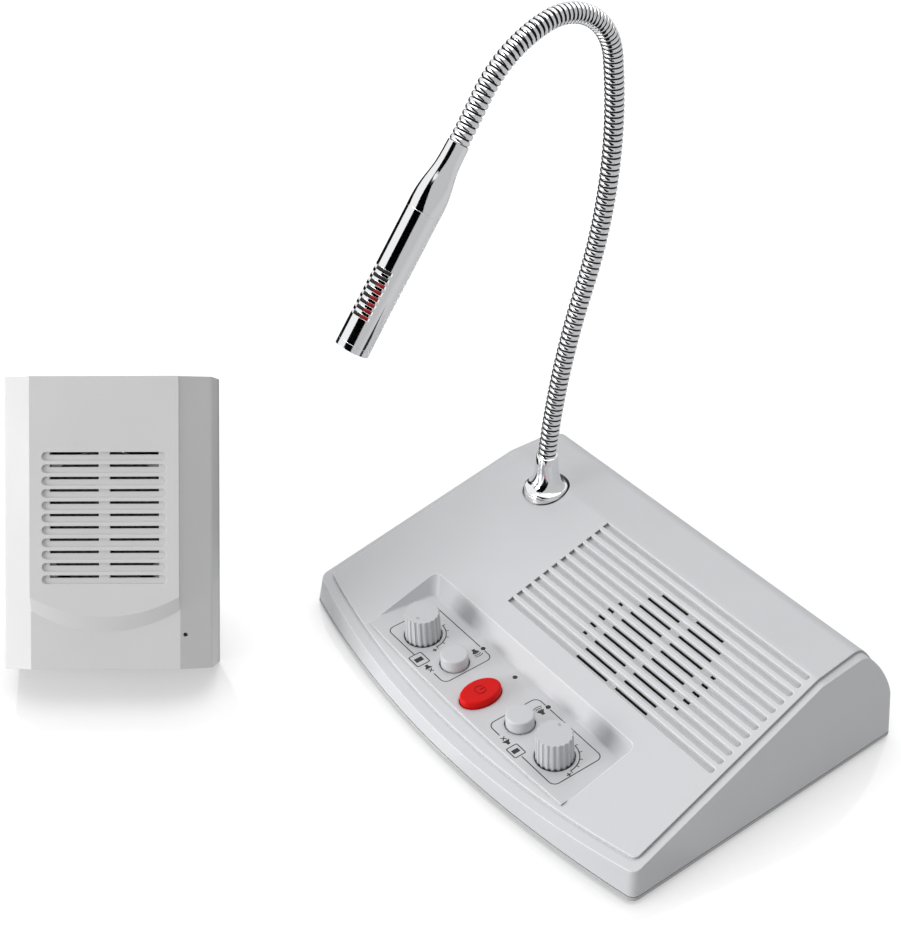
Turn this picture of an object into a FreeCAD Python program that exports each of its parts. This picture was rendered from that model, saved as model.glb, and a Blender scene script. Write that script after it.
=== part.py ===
import FreeCAD, Part
import math
import os
import re
import Sketcher
from types import SimpleNamespace
from FreeCAD import Placement, Rotation, Vector

# Teller window intercom: a desk console with a gooseneck microphone, and a customer unit.
# Console frame: X to the teller's right, Y away from the teller, Z up from the counter,
# origin midway between the console's front corners. SET_PLACE then puts the origin under
# the centre of the whole set.

SIZES = {
    # Console case walls, measured at the parting line between top case and tray
    "case_width": 220.0,
    "case_back_width": 208.3,
    "case_depth": 146.3,
    "front_bow": 12.8,
    "wall_draft_angle": 7.7,
    "corner_round": 4.0,
    "case_wall": 2.4,
    "parting_height": 3.67,
    "parting_gap": 0.4,
    "overrun": 3.0,
    # Console roof: sloping panel, crease, nearly flat top, rear curve
    "panel_front_height": 16.1,
    "panel_angle": 17.77,
    "crease_depth": 102.5,
    "crease_round": 10.0,
    "top_angle": 3.5,
    "rear_edge_inset": 18.3,
    "rear_edge_round": 8.0,
    "rear_lean_angle": 46.0,
    "rear_round": 56.0,
    "panel_wall": 2.6,
    "ledge_drop": 1.35,
    "ledge_edge_round": 1.0,
    "floor_lip_side": 66.5,
    "floor_lip_corner_depth": -0.1,
    "floor_lip_middle_depth": -1.6,
    "floor_lip_thickness": 2.0,
    "floor_lip_reach": 8.0,
    "panel_front_inset": 6.0,
    "panel_front_width": 209.0,
    "panel_back_width": 186.7,
    "panel_corner_round": 2.5,
    # Control recess
    "floor_front_height": 17.13,
    "floor_angle": 2.54,
    "recess_tip_depth": 3.7,
    "recess_foot_depth": 32.8,
    "recess_front_width": 134.0,
    "recess_back_width": 126.6,
    "recess_lean_angle": 24.0,
    "recess_corner_round": 4.0,
    "recess_foot_round": 1.2,
    "floor_wall": 2.4,
    # Grille grooves and slots in the panel
    "groove_count": 12,
    "groove_pitch": 4.739,
    "first_groove_depth": 101.98,
    "groove_left": -29.4,
    "groove_floor": 1.3,
    "groove_drop": 0.45,
    "groove_flat": 2.35,
    "groove_run": 3.1,
    "groove_end_gap": 2.0,
    "groove_tip_run": 1.6,
    "slot_count": 10,
    "slot_width": 1.2,
    "slot_offset": 1.06,
    "slot_length": 19.3,
    "slot_gap": 5.2,
    "slot_field_radius": 31.0,
    "slot_field_side": 36.8,
    "slot_field_depth": 67.75,
    "slot_shortest": 1.5,
    # Tray and feet
    "tray_bottom": 1.3,
    "tray_edge_round": 0.8,
    "lip_gap": 0.2,
    "lip_thickness": 1.6,
    "lip_height": 2.7,
    "foot_radius": 6.0,
    "foot_recess": 0.8,
    "foot_gap": 0.15,
    "foot_side": 88.0,
    "front_foot_depth": 20.0,
    "back_foot_depth": 122.0,
    # Case screws
    "case_boss_radius": 3.6,
    "case_screw_radius": 1.4,
    "case_screw_length": 9.0,
    "screw_head_radius": 2.8,
    "screw_head_height": 1.2,
    "screw_gap": 0.2,
    "front_screw_side": 92.0,
    "front_screw_depth": 8.0,
    "middle_screw_side": 95.0,
    "middle_screw_depth": 74.0,
    "back_screw_side": 88.0,
    "back_screw_inset": 12.3,
    # Controls
    "knob_side": 45.35,
    "knob_depth": 13.74,
    "knob_bottom_radius": 7.9,
    "knob_top_radius": 7.5,
    "knob_height": 12.8,
    "knob_sink": 0.7,
    "knob_well_radius": 8.4,
    "knob_well": 1.0,
    "knob_hub_radius": 4.6,
    "knob_hollow_radius": 6.2,
    "knob_cap": 2.4,
    "knob_flute_count": 20,
    "knob_flute_radius": 0.85,
    "dimple_radius": 1.2,
    "dimple_sink": 0.45,
    "left_mark_angle": 148.0,
    "left_mark_radius": 3.9,
    "right_mark_angle": -26.0,
    "right_mark_radius": 5.2,
    "shaft_radius": 3.0,
    "shaft_hole_radius": 3.6,
    "shaft_gap": 0.05,
    "shaft_top": 9.0,
    "pot_width": 9.8,
    "pot_length": 11.4,
    "pot_height": 6.8,
    "pot_gap": 0.3,
    "pot_floor": 1.2,
    "button_side": 22.59,
    "button_depth": 13.97,
    "button_radius": 5.95,
    "button_hole_radius": 6.46,
    "button_stand": 5.6,
    "button_top_round": 0.8,
    "button_flange": 1.1,
    "button_flange_thickness": 1.0,
    "button_gap": 0.3,
    "button_travel": 1.0,
    "stem_radius": 2.0,
    "stem_length": 0.6,
    "plunger_radius": 1.7,
    "plunger_gap": 0.06,
    "plunger_length": 2.7,
    "plunger_well": 3.0,
    "switch_width": 6.2,
    "power_switch_width": 8.6,
    "power_depth": 10.9,
    "power_half_width": 6.5,
    "power_half_length": 9.6,
    "power_stand": 3.5,
    "power_top_round": 1.3,
    "power_hole_gap": 0.35,
    "power_flange_reach": 5.5,
    "symbol_radius": 2.5,
    "symbol_line": 0.55,
    "symbol_sink": 0.3,
    "symbol_gap_angle": 64.0,
    "led_side": 22.3,
    "led_depth": 28.7,
    "led_radius": 1.0,
    "led_body_radius": 1.45,
    "led_hole_gap": 0.1,
    "led_sink": 0.3,
    # Control board, hung under the recess floor
    "board_thickness": 1.6,
    "control_board_width": 122.0,
    "control_board_front": 3.0,
    "control_board_back": 31.0,
    "control_boss_side": 56.5,
    "control_boss_front": 1.5,
    "control_boss_back": 26.5,
    "control_boss_radius": 2.8,
    "board_screw_radius": 1.2,
    "board_screw_length": 5.0,
    "board_screw_head_radius": 2.4,
    "board_screw_head_height": 1.1,
    # Main board on tray posts
    "board_level": 7.0,
    "board_left": -78.0,
    "board_right": 42.0,
    "board_front": 70.0,
    "board_back_inset": 8.3,
    "board_post_inset": 5.0,
    "board_post_radius": 3.0,
    "capacitor_radius": 4.0,
    "capacitor_height": 12.0,
    "capacitor_side": -44.0,
    "capacitor_depth": 84.0,
    "capacitor_pitch": 10.0,
    "amplifier_side": -12.0,
    "amplifier_depth": 111.5,
    "amplifier_width": 20.0,
    "amplifier_thickness": 4.2,
    "amplifier_height": 9.0,
    "sink_thickness": 2.0,
    "sink_height": 16.0,
    "sink_fin_count": 5,
    "sink_fin_length": 6.0,
    "connector_width": 7.0,
    "connector_length": 5.0,
    "connector_height": 5.0,
    "mic_connector_side": -58.0,
    "mic_connector_depth": 111.0,
    "speaker_connector_side": 0.0,
    "speaker_connector_depth": 92.0,
    "link_connector_side": -20.0,
    "link_connector_depth": 79.0,
    "control_connector_side": -32.0,
    # Sockets at the back
    "socket_setback": 2.2,
    "power_socket_side": -56.0,
    "power_socket_width": 9.0,
    "power_socket_length": 14.0,
    "power_socket_height": 11.0,
    "power_nose_radius": 4.0,
    "power_bore_radius": 2.85,
    "power_pin_radius": 1.05,
    "link_socket_side": -30.0,
    "audio_socket_side": -6.0,
    "jack_width": 8.0,
    "jack_length": 14.0,
    "jack_height": 8.0,
    "jack_nose_radius": 3.0,
    "jack_bore_radius": 1.8,
    "jack_bore_length": 13.5,
    "nose_gap": 0.2,
    "nose_sink": 0.4,
    # Speaker under the grille
    "speaker_radius": 28.5,
    "speaker_depth_place": 69.0,
    "cloth_thickness": 0.4,
    "gasket_thickness": 0.8,
    "gasket_width": 3.0,
    "rim_thickness": 0.8,
    "rim_width": 3.4,
    "basket_depth": 9.0,
    "basket_back_radius": 14.0,
    "cone_thickness": 0.5,
    "cone_gap": 1.0,
    "cone_depth": 6.5,
    "cone_throat_radius": 8.0,
    "dust_cap_height": 2.2,
    "magnet_radius": 14.5,
    "magnet_height": 7.0,
    "terminal_width": 7.0,
    "terminal_thickness": 2.5,
    "terminal_height": 4.0,
    "clamp_circle_radius": 35.2,
    "clamp_boss_radius": 2.6,
    "clamp_width": 6.0,
    "clamp_inner_radius": 26.4,
    "clamp_outer_radius": 37.8,
    "clamp_thickness": 1.0,
    # Ferrule in its seat
    "ferrule_side": -67.5,
    "ferrule_depth": 97.6,
    "seat_height": 44.2,
    "seat_radius": 10.7,
    "seat_boss_radius": 13.2,
    "seat_boss_thickness": 2.8,
    "ferrule_base_radius": 10.1,
    "ferrule_base_height": 3.3,
    "ferrule_shoulder_radius": 9.0,
    "ferrule_flare_radius": 5.7,
    "ferrule_flare_height": 8.2,
    "ferrule_top_radius": 4.35,
    "ferrule_edge_round": 0.6,
    "thread_radius": 4.8,
    "thread_gap": 0.1,
    "thread_reach": 10.5,
    "washer_radius": 9.5,
    "washer_thickness": 1.2,
    "nut_flats": 14.0,
    "nut_thickness": 4.0,
    # Gooseneck: outside radius of the ribs, route as arcs in the plane of the ferrule
    "neck_radius": 4.1,
    "groove_radius": 3.55,
    "bore_radius": 1.8,
    "rib_pitch": 2.7,
    "ball_radius": 3.0,
    "ball_gap": 0.05,
    "joint_gap": 1.8,
    "cup_length": 3.6,
    "neck_start_height": 65.7,
    "neck_start_angle": 84.7,
    "lower_length": 81.5,
    "lower_turn_angle": -13.3,
    "middle_length": 99.4,
    "middle_turn_angle": 25.7,
    "arch_length": 47.2,
    "arch_turn_angle": 97.7,
    "arch_end_length": 43.0,
    "arch_end_turn_angle": 42.1,
    "tip_length": 16.0,
    "tip_turn_angle": -2.2,
    # Microphone
    "mic_neck_radius": 4.4,
    "mic_radius": 7.0,
    "mic_cone_length": 29.0,
    "mic_length": 60.0,
    "mic_wall": 0.9,
    "mic_ring_length": 2.7,
    "mic_rim": 1.1,
    "mic_slot_count": 8,
    "mic_slot_start": 25.6,
    "mic_slot_pitch": 2.77,
    "mic_slot_width": 1.5,
    "mic_slot_floor": 4.0,
    "lining_start": 21.0,
    "lining_length": 30.0,
    "lining_thickness": 0.7,
    "lining_gap": 0.1,
    "capsule_radius": 4.85,
    "capsule_length": 5.0,
    "mic_screen_thickness": 0.6,
    # Customer unit: its case leans back on the lower back edge and a bent strip
    "unit_side": -103.38,
    "unit_forward": 108.5,
    "unit_turn_angle": 54.27,
    "unit_lean_angle": 35.2,
    "unit_width": 88.0,
    "unit_height": 123.2,
    "unit_depth": 34.0,
    "unit_split": 26.0,
    "unit_wall": 2.2,
    "unit_panel_width": 62.8,
    "unit_panel_stand": 2.6,
    "unit_strip_depth": 9.0,
    "unit_edge_round": 2.0,
    "unit_chamfer_top_side": 30.6,
    "unit_chamfer_top_middle": 22.3,
    "unit_chamfer_foot_side": 24.9,
    "unit_chamfer_foot_middle": 15.8,
    "unit_groove_count": 11,
    "unit_groove_width": 52.2,
    "unit_groove_height": 3.67,
    "unit_groove_floor": 0.9,
    "unit_groove_pitch": 5.16,
    "unit_first_groove": 37.9,
    "unit_slot_length": 20.6,
    "unit_slot_height": 1.1,
    "unit_slot_side": 12.6,
    "unit_mic_side": 33.4,
    "unit_mic_height": 14.4,
    "unit_mic_hole_radius": 0.9,
    "unit_capsule_radius": 3.0,
    "unit_boot_radius": 4.2,
    "unit_boot_length": 6.0,
    "unit_screw_side": 38.0,
    "unit_screw_low": 8.0,
    "unit_screw_high": 115.2,
    "unit_boss_radius": 3.4,
    "unit_screw_length": 12.0,
    "unit_lip_height": 2.4,
    "unit_board_width": 52.0,
    "unit_board_height": 26.0,
    "unit_board_left": -30.0,
    "unit_board_low": 6.0,
    "unit_board_front": 15.0,
    "unit_socket_side": -14.0,
    "wall_hole_radius": 2.25,
    "wall_hole_circle": 60.0,
    "wall_hole_boss_radius": 5.0,
    "strip_width": 22.0,
    "strip_thickness": 2.0,
    "strip_bend": 1.0,
    "strip_low": 44.0,
    "strip_high": 82.0,
    "strip_foot_length": 20.0,
    "strip_screw_low": 51.0,
    "strip_screw_high": 69.0,
}

# Places of the four rib circles along one pitch of the neck, as shares of the pitch
RIB_SHARES = (0.0, 0.16, 0.68, 0.84)
# Control points of the microphone's shoulder along its length, as shares
SHOULDER_SHARES = (0.2, 0.36, 0.52, 0.68, 0.84)
SHOULDER_RISE_SHARES = (0.07, 0.2, 0.52, 0.84, 1.0)

X_AXIS = Vector(1, 0, 0)
Y_AXIS = Vector(0, 1, 0)
Z_AXIS = Vector(0, 0, 1)

os.makedirs("parts", exist_ok=True)
doc = FreeCAD.newDocument("window_intercom")


def make_sheet():
    """Spreadsheet with one named cell for each driving size."""
    table = doc.addObject("Spreadsheet::Sheet", "sizes")
    for row, (name, value) in enumerate(SIZES.items(), start=1):
        table.set("A%d" % row, name.replace("_", " "))
        table.set("B%d" % row, str(value))
        table.setAlias("B%d" % row, name)
    doc.recompute()
    return table


sheet = make_sheet()
size = SimpleNamespace(**{name: float(sheet.get(name)) for name in SIZES})
kept = []


def tangent(angle):
    return math.tan(math.radians(angle))


def sine(angle):
    return math.sin(math.radians(angle))


def cosine(angle):
    return math.cos(math.radians(angle))


def place(x, y, z, tilt=0.0):
    """Placement at a point, tilted about X."""
    return Placement(Vector(x, y, z), Rotation(X_AXIS, tilt))


UNIT_PLACE = Placement(
    Vector(size.unit_side, -size.unit_forward, size.unit_depth * sine(size.unit_lean_angle)),
    Rotation(Z_AXIS, size.unit_turn_angle).multiply(Rotation(X_AXIS, -size.unit_lean_angle)),
)


def cells(text):
    """Expression text with each size name turned into a reference to its cell."""
    return re.sub(r"[a-z_]+", lambda word: "sizes." + word.group() if word.group() in SIZES else word.group(), text)


def keep(thing, label, where=Placement()):
    """Names a finished sub-part, puts it in the set's frame and lists it for writing."""
    thing.Label = label
    thing.Placement = SET_PLACE.multiply(where)
    kept.append(thing)
    return thing


def solid(label, shape, where=Placement()):
    """Sub-part whose shape is worked out from the sheet's values."""
    thing = doc.addObject("Part::Feature", label)
    thing.Shape = shape.removeSplitter() if len(shape.Solids) == 1 else shape
    return keep(thing, label, where)


def group(label, shapes):
    """Several separate solids under one name."""
    thing = doc.addObject("Part::Feature", label)
    thing.Shape = Part.makeCompound(shapes)
    return keep(thing, label)


def cylinder_part(label, radius, height, where):
    """Round bar bound to the sheet."""
    bar = doc.addObject("Part::Cylinder", label)
    bar.setExpression("Radius", cells(radius))
    bar.setExpression("Height", cells(height))
    return keep(bar, label, where)


def ring_part(label, outer, inner, height, where):
    """Flat ring bound to the sheet."""
    disc = doc.addObject("Part::Cylinder", label + "_disc")
    disc.setExpression("Radius", cells(outer))
    disc.setExpression("Height", cells(height))
    hole = doc.addObject("Part::Cylinder", label + "_hole")
    hole.setExpression("Radius", cells(inner))
    hole.setExpression("Height", cells(height))
    ring = doc.addObject("Part::Cut", label)
    ring.Base = disc
    ring.Tool = hole
    return keep(ring, label, where)


def body_with_profile(label, role, points):
    """Body with a closed profile sketch whose corners are bound to the sheet."""
    body = doc.addObject("PartDesign::Body", label)
    sketch = body.newObject("Sketcher::SketchObject", label + "_profile")
    plane = [item for item in body.Origin.OriginFeatures if item.Role == role][0]
    sketch.AttachmentSupport = (plane, [""])
    sketch.MapMode = "FlatFace"
    count = len(points)
    corners = [Vector(index, index * index, 0) for index in range(count)]
    for index in range(count):
        sketch.addGeometry(Part.LineSegment(corners[index], corners[(index + 1) % count]), False)
    for index in range(count):
        sketch.addConstraint(Sketcher.Constraint("Coincident", index, 2, (index + 1) % count, 1))
    for index, (across, along) in enumerate(points):
        for kind, text, start in (("DistanceX", across, corners[index].x), ("DistanceY", along, corners[index].y)):
            number = sketch.addConstraint(Sketcher.Constraint(kind, -1, 1, index, 1, start))
            sketch.setExpression("Constraints[%d]" % number, cells(text))
    return body, sketch


def turned_part(label, points, where):
    """Solid of revolution about Z; the profile's points are radius and height."""
    body, sketch = body_with_profile(label, "XZ_Plane", points)
    turn = body.newObject("PartDesign::Revolution", label + "_turn")
    turn.Profile = sketch
    turn.ReferenceAxis = (sketch, ["V_Axis"])
    turn.Angle = 360
    return keep(body, label, where)


def plate_part(label, points, thickness, where):
    """Flat plate raised from an outline in the XY plane."""
    body, sketch = body_with_profile(label, "XY_Plane", points)
    pad = body.newObject("PartDesign::Pad", label + "_pad")
    pad.Profile = sketch
    pad.setExpression("Length", cells(thickness))
    return keep(body, label, where)


def drill_plate(body, label, spots, radius):
    """Round holes through a plate at the listed spots, each bound to the sheet."""
    sketch = body.newObject("Sketcher::SketchObject", label + "_holes")
    plane = [item for item in body.Origin.OriginFeatures if item.Role == "XY_Plane"][0]
    sketch.AttachmentSupport = (plane, [""])
    sketch.MapMode = "FlatFace"
    for index, (across, along) in enumerate(spots):
        sketch.addGeometry(Part.Circle(Vector(index, index, 0), Z_AXIS, 1), False)
        number = sketch.addConstraint(Sketcher.Constraint("Radius", index, 1))
        sketch.setExpression("Constraints[%d]" % number, cells(radius))
        for kind, text in (("DistanceX", across), ("DistanceY", along)):
            number = sketch.addConstraint(Sketcher.Constraint(kind, -1, 1, index, 3, index))
            sketch.setExpression("Constraints[%d]" % number, cells(text))
    pocket = body.newObject("PartDesign::Pocket", label + "_drill")
    pocket.Profile = sketch
    pocket.Type = 1
    pocket.Reversed = True


def bar(radius, low, high, where=Placement()):
    """Cylinder shape about local Z between two heights."""
    shape = Part.makeCylinder(radius, high - low, Vector(0, 0, low))
    shape.Placement = where
    return shape


def block(low, high, where=Placement()):
    """Box shape between two corners."""
    span = high - low
    shape = Part.makeBox(span.x, span.y, span.z, low)
    shape.Placement = where
    return shape


def rounded_wire(points, radii):
    """Closed wire through the points, each corner turned by a tangent arc."""
    count = len(points)
    starts = []
    ends = []
    middles = []
    for index, corner in enumerate(points):
        before = (points[index - 1] - corner).normalize()
        after = (points[(index + 1) % count] - corner).normalize()
        half = before.getAngle(after) / 2
        reach = radii[index] / math.tan(half)
        bisector = (before + after).normalize()
        starts.append(corner + before * reach)
        ends.append(corner + after * reach)
        middles.append(corner + bisector * (radii[index] / math.sin(half) - radii[index]))
    edges = []
    for index in range(count):
        if radii[index] > 0:
            edges.append(Part.Arc(starts[index], middles[index], ends[index]).toShape())
        edges.append(Part.makeLine(ends[index], starts[(index + 1) % count]))
    return Part.Wire(edges)


def prism(wire, sweep):
    return Part.Face(wire).extrude(sweep)


def panel_height(depth):
    return size.panel_front_height + depth * tangent(size.panel_angle)


def floor_height(depth):
    return size.floor_front_height + depth * tangent(size.floor_angle)


def on_panel(side, depth, lift=0.0):
    """Placement on the sloping panel, Z along its normal."""
    return place(side, depth, panel_height(depth), size.panel_angle).multiply(place(0, 0, lift))


def on_floor(side, depth, lift=0.0):
    """Placement on the recess floor, Z along its normal."""
    return place(side, depth, floor_height(depth), size.floor_angle).multiply(place(0, 0, lift))


# Levels below the recess floor, along its normal
BOARD_TOP = -(size.floor_wall + size.pot_gap + size.pot_height)
BOARD_UNDERSIDE = BOARD_TOP - size.board_thickness
FLANGE_TOP = -(size.floor_wall + size.button_gap)
STEM_END = FLANGE_TOP - size.button_flange_thickness - size.stem_length
# Levels in the tray
TRAY_TOP = size.parting_height - size.parting_gap
ROOF_TOP = panel_height(size.case_depth - size.rear_edge_inset)


def roof_prism(drop, back_inset):
    """Everything under the roof line: panel slope, crease, flat top, rear curve and back."""
    side = -size.case_width / 2 - size.overrun
    front = -size.front_bow - size.overrun
    rear_depth = size.case_depth - size.rear_edge_inset - back_inset
    crease_height = panel_height(size.crease_depth)
    rear_height = crease_height + (rear_depth - size.crease_depth) * tangent(size.top_angle)
    back = size.case_depth - back_inset
    shoulder = rear_height - (back - rear_depth) * tangent(size.rear_lean_angle)
    points = [
        Vector(side, front, panel_height(front) - drop),
        Vector(side, size.crease_depth, crease_height - drop),
        Vector(side, rear_depth, rear_height - drop),
        Vector(side, back, shoulder - drop),
        Vector(side, back, -size.overrun),
        Vector(side, front, -size.overrun),
    ]
    radii = [0, size.crease_round, size.rear_edge_round, size.rear_round, 0, 0]
    return prism(rounded_wire(points, radii), Vector(size.case_width + 2 * size.overrun, 0, 0))


def bow_radius():
    return (size.case_width ** 2 / 4 + size.front_bow ** 2) / (2 * size.front_bow)


def bowed_outline(height, front_half, back_half, front_inset, back):
    """Outline with a bowed front, tapered sides and a straight back."""
    radius = bow_radius() - front_inset
    centre = bow_radius() - size.front_bow
    corner = centre - math.sqrt(radius ** 2 - front_half ** 2)
    left = Vector(-front_half, corner, height)
    right = Vector(front_half, corner, height)
    bow = Part.Arc(left, Vector(0, centre - radius, height), right).toShape()
    rest = Part.makePolygon([right, Vector(back_half, back, height), Vector(-back_half, back, height), left])
    return Part.Wire([bow] + rest.Edges)


def upright_edges(shape, least):
    return [edge for edge in shape.Edges if edge.BoundBox.ZLength > least]


def case_walls(low, high, inset, back_inset):
    """Drafted walls of the console between two heights, moved inward by an inset."""
    outlines = []
    for height in (low, high):
        lean = inset + (height - size.parting_height) * tangent(size.wall_draft_angle)
        front_half = size.case_width / 2 - lean
        back_half = size.case_back_width / 2 - lean
        outlines.append(bowed_outline(height, front_half, back_half, lean, size.case_depth - back_inset))
    walls = Part.makeLoft(outlines, True, True)
    radius = max(size.corner_round - inset, size.corner_round / 4)
    return walls.makeFillet(radius, upright_edges(walls, (high - low) / 2))


def recess_space(offset):
    """Space of the control recess above its floor, grown by an offset on floor, back and sides."""
    lean = tangent(size.recess_lean_angle)
    grow = offset / cosine(size.recess_lean_angle)
    taper = (size.recess_front_width - size.recess_back_width) / 2
    taper = taper / (size.recess_foot_depth - size.recess_tip_depth)
    front = -size.front_bow - size.overrun
    front_half = size.recess_front_width / 2 + (size.recess_tip_depth - front) * taper
    reach = panel_height(size.recess_foot_depth) - floor_height(size.recess_foot_depth) + 2 * size.overrun
    outlines = []
    for level in (-offset, reach):
        out = level * lean + grow
        back = size.recess_foot_depth / cosine(size.floor_angle) + out
        back_half = size.recess_back_width / 2 + out
        corners = [
            Vector(-front_half - out, front, level),
            Vector(front_half + out, front, level),
            Vector(back_half, back, level),
            Vector(-back_half, back, level),
            Vector(-front_half - out, front, level),
        ]
        outlines.append(Part.makePolygon(corners))
    space = Part.makeLoft(outlines, True, True)
    back_edges = [edge for edge in upright_edges(space, reach / 2) if edge.BoundBox.YMax > 0]
    space = space.makeFillet(size.recess_corner_round + offset, back_edges)
    foot_edges = [
        edge for edge in space.Edges
        if edge.BoundBox.ZMax < -offset + size.recess_foot_round / 2 and edge.BoundBox.YMax > 0
    ]
    space = space.makeFillet(size.recess_foot_round + offset, foot_edges)
    space.Placement = on_floor(0, 0)
    return space


def floor_lip():
    """Front edge of the recess's floor, standing proud of the panel in front of it."""
    left = Vector(-size.floor_lip_side, size.floor_lip_corner_depth, -size.floor_lip_thickness)
    right = Vector(size.floor_lip_side, size.floor_lip_corner_depth, -size.floor_lip_thickness)
    bow = Part.Arc(left, Vector(0, size.floor_lip_middle_depth, -size.floor_lip_thickness), right).toShape()
    back = Vector(0, size.floor_lip_reach - size.floor_lip_corner_depth, 0)
    rest = Part.makePolygon([right, right + back, left + back, left])
    lip = prism(Part.Wire([bow] + rest.Edges), Vector(0, 0, size.floor_lip_thickness))
    lip.Placement = on_floor(0, 0)
    return lip


def panel_half_width(depth):
    """Half-width of the raised panel at a depth along it."""
    share = depth / size.case_depth
    return (size.panel_front_width + (size.panel_back_width - size.panel_front_width) * share) / 2


def groove_cutters():
    """Grooves across the panel: steep at the back, flat floor, sloping front, tapered right end."""
    cutters = []
    for index in range(int(size.groove_count)):
        depth = size.first_groove_depth - index * size.groove_pitch
        reach = panel_half_width(depth) - size.groove_end_gap
        profile = [
            Vector(0, 0, size.overrun),
            Vector(0, 0, 0),
            Vector(0, -size.groove_drop, -size.groove_floor),
            Vector(0, -size.groove_flat, -size.groove_floor),
            Vector(0, -size.groove_run, 0),
            Vector(0, -size.groove_run, size.overrun),
        ]
        middle = Vector(0, -size.groove_run / 2, size.overrun)
        tip = [middle + (point - middle) * 0.5 for point in profile]
        for point in tip:
            point.z = max(point.z, 0) + size.overrun
        start = Vector(size.groove_left, 0, 0)
        turn = Vector(reach - size.groove_tip_run, 0, 0)
        end = Vector(reach, 0, -size.overrun)
        outlines = [Part.makePolygon([point + shift for point in outline + outline[:1]])
                    for outline, shift in ((profile, start), (profile, turn), (tip, end))]
        channel = Part.makeLoft(outlines[:2], True, True)
        channel = channel.fuse(Part.makeLoft(outlines[1:], True, True))
        channel.Placement = on_panel(0, depth)
        cutters.append(channel)
    return cutters


def slot_spans(drop):
    """Left and right ends of the slots in one row, kept inside the round speaker field."""
    half = math.sqrt(max(size.slot_field_radius ** 2 - drop ** 2, 0))
    pitch = size.slot_length + size.slot_gap
    spans = []
    for step in (-2, -1, 0, 1):
        left = step * pitch + size.slot_gap / 2
        right = left + size.slot_length
        left = max(left, -half)
        right = min(right, half)
        if right - left > size.slot_shortest:
            spans.append((size.slot_field_side + left, size.slot_field_side + right))
    return spans


def slot_cutters():
    """Through slots at the foot of the steep side of the grooves over the speaker."""
    cutters = []
    first = int(size.groove_count - size.slot_count)
    for index in range(first, int(size.groove_count)):
        depth = size.first_groove_depth - index * size.groove_pitch - size.slot_offset
        drop = (depth - size.slot_field_depth) / cosine(size.panel_angle)
        for left, right in slot_spans(drop):
            low = Vector(left, -size.slot_width / 2, -size.panel_wall - size.overrun)
            high = Vector(right, size.slot_width / 2, size.overrun)
            cutters.append(block(low, high, on_panel(0, depth)))
    return cutters


def case_screw_spots():
    spots = []
    for side, depth in (
        (size.front_screw_side, size.front_screw_depth),
        (size.middle_screw_side, size.middle_screw_depth),
        (size.back_screw_side, size.case_depth - size.back_screw_inset),
    ):
        spots += [(-side, depth), (side, depth)]
    return spots


def control_screw_spots():
    return [
        (side * size.control_boss_side, depth)
        for side in (-1, 1)
        for depth in (size.control_boss_front, size.control_boss_back)
    ]


def clamp_places():
    """Placements of the speaker clamps round a speaker centred on a frame's origin."""
    return [Placement(Vector(), Rotation(Z_AXIS, 45 + 90 * turn)) for turn in range(4)]


def speaker_place():
    return on_panel(size.slot_field_side, size.speaker_depth_place, -size.panel_wall)


def clamp_level(gasket):
    """Depth of the speaker clamps behind the wall, with or without a gasket."""
    return size.cloth_thickness + gasket + size.rim_thickness


def case_void():
    """Hollow of the top case with the recess shell and every boss left standing in it."""
    drop = size.panel_wall / cosine(size.panel_angle)
    low = size.parting_height - size.overrun
    void = case_walls(low, ROOF_TOP + size.overrun, size.case_wall, size.case_wall)
    void = void.common(roof_prism(drop, size.case_wall))
    stays = [recess_space(size.floor_wall)]
    for side, depth in case_screw_spots():
        stays.append(bar(size.case_boss_radius, TRAY_TOP, ROOF_TOP, place(side, depth, 0)))
    for side, depth in control_screw_spots():
        stays.append(bar(size.control_boss_radius, BOARD_TOP, 0, on_floor(side, depth)))
    for turn in clamp_places():
        spot = speaker_place().multiply(turn).multiply(place(size.clamp_circle_radius, 0, 0))
        stays.append(bar(size.clamp_boss_radius, -clamp_level(size.gasket_thickness), size.overrun, spot))
    seat_low = size.seat_height - size.seat_boss_thickness
    stays.append(bar(size.seat_boss_radius, seat_low, ROOF_TOP, place(size.ferrule_side, size.ferrule_depth, 0)))
    return void.cut(stays)


def control_holes():
    """Openings in the recess floor for knobs, buttons and lamps, with the screw holes."""
    cutters = []
    low = -size.floor_wall - size.overrun
    for side in (-size.knob_side, size.knob_side):
        cutters.append(bar(size.knob_well_radius, -size.knob_well, size.overrun, on_floor(side, size.knob_depth)))
        cutters.append(bar(size.shaft_hole_radius, low, size.overrun, on_floor(side, size.knob_depth)))
    for side in (-size.button_side, size.button_side):
        cutters.append(bar(size.button_hole_radius, low, size.overrun, on_floor(side, size.button_depth)))
    for side in (-size.led_side, 0, size.led_side):
        cutters.append(bar(size.led_radius + size.led_hole_gap, low, size.overrun, on_floor(side, size.led_depth)))
    cutters.append(oval(size.power_hole_gap, low, size.overrun, on_floor(0, size.power_depth)))
    for side, depth in control_screw_spots():
        top = BOARD_TOP + size.board_screw_length
        cutters.append(bar(size.board_screw_radius, BOARD_TOP - size.overrun, top, on_floor(side, depth)))
    return cutters


def oval(grow, low, high, where=Placement()):
    """Oval prism of the power button's outline, its long axis along Y."""
    ellipse = Part.Ellipse(Vector(), size.power_half_length + grow, size.power_half_width + grow)
    edge = ellipse.toShape()
    edge.rotate(Vector(), Z_AXIS, 90)
    edge.translate(Vector(0, 0, low))
    shape = prism(Part.Wire(edge), Vector(0, 0, high - low))
    shape.Placement = where
    return shape


def socket_spots():
    """Side place, nose radius and axis height of each socket at the back."""
    top = size.board_level + size.board_thickness
    return [
        (size.power_socket_side, size.power_nose_radius, top + size.power_socket_height / 2),
        (size.link_socket_side, size.jack_nose_radius, top + size.jack_height / 2),
        (size.audio_socket_side, size.jack_nose_radius, top + size.jack_height / 2),
    ]


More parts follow.
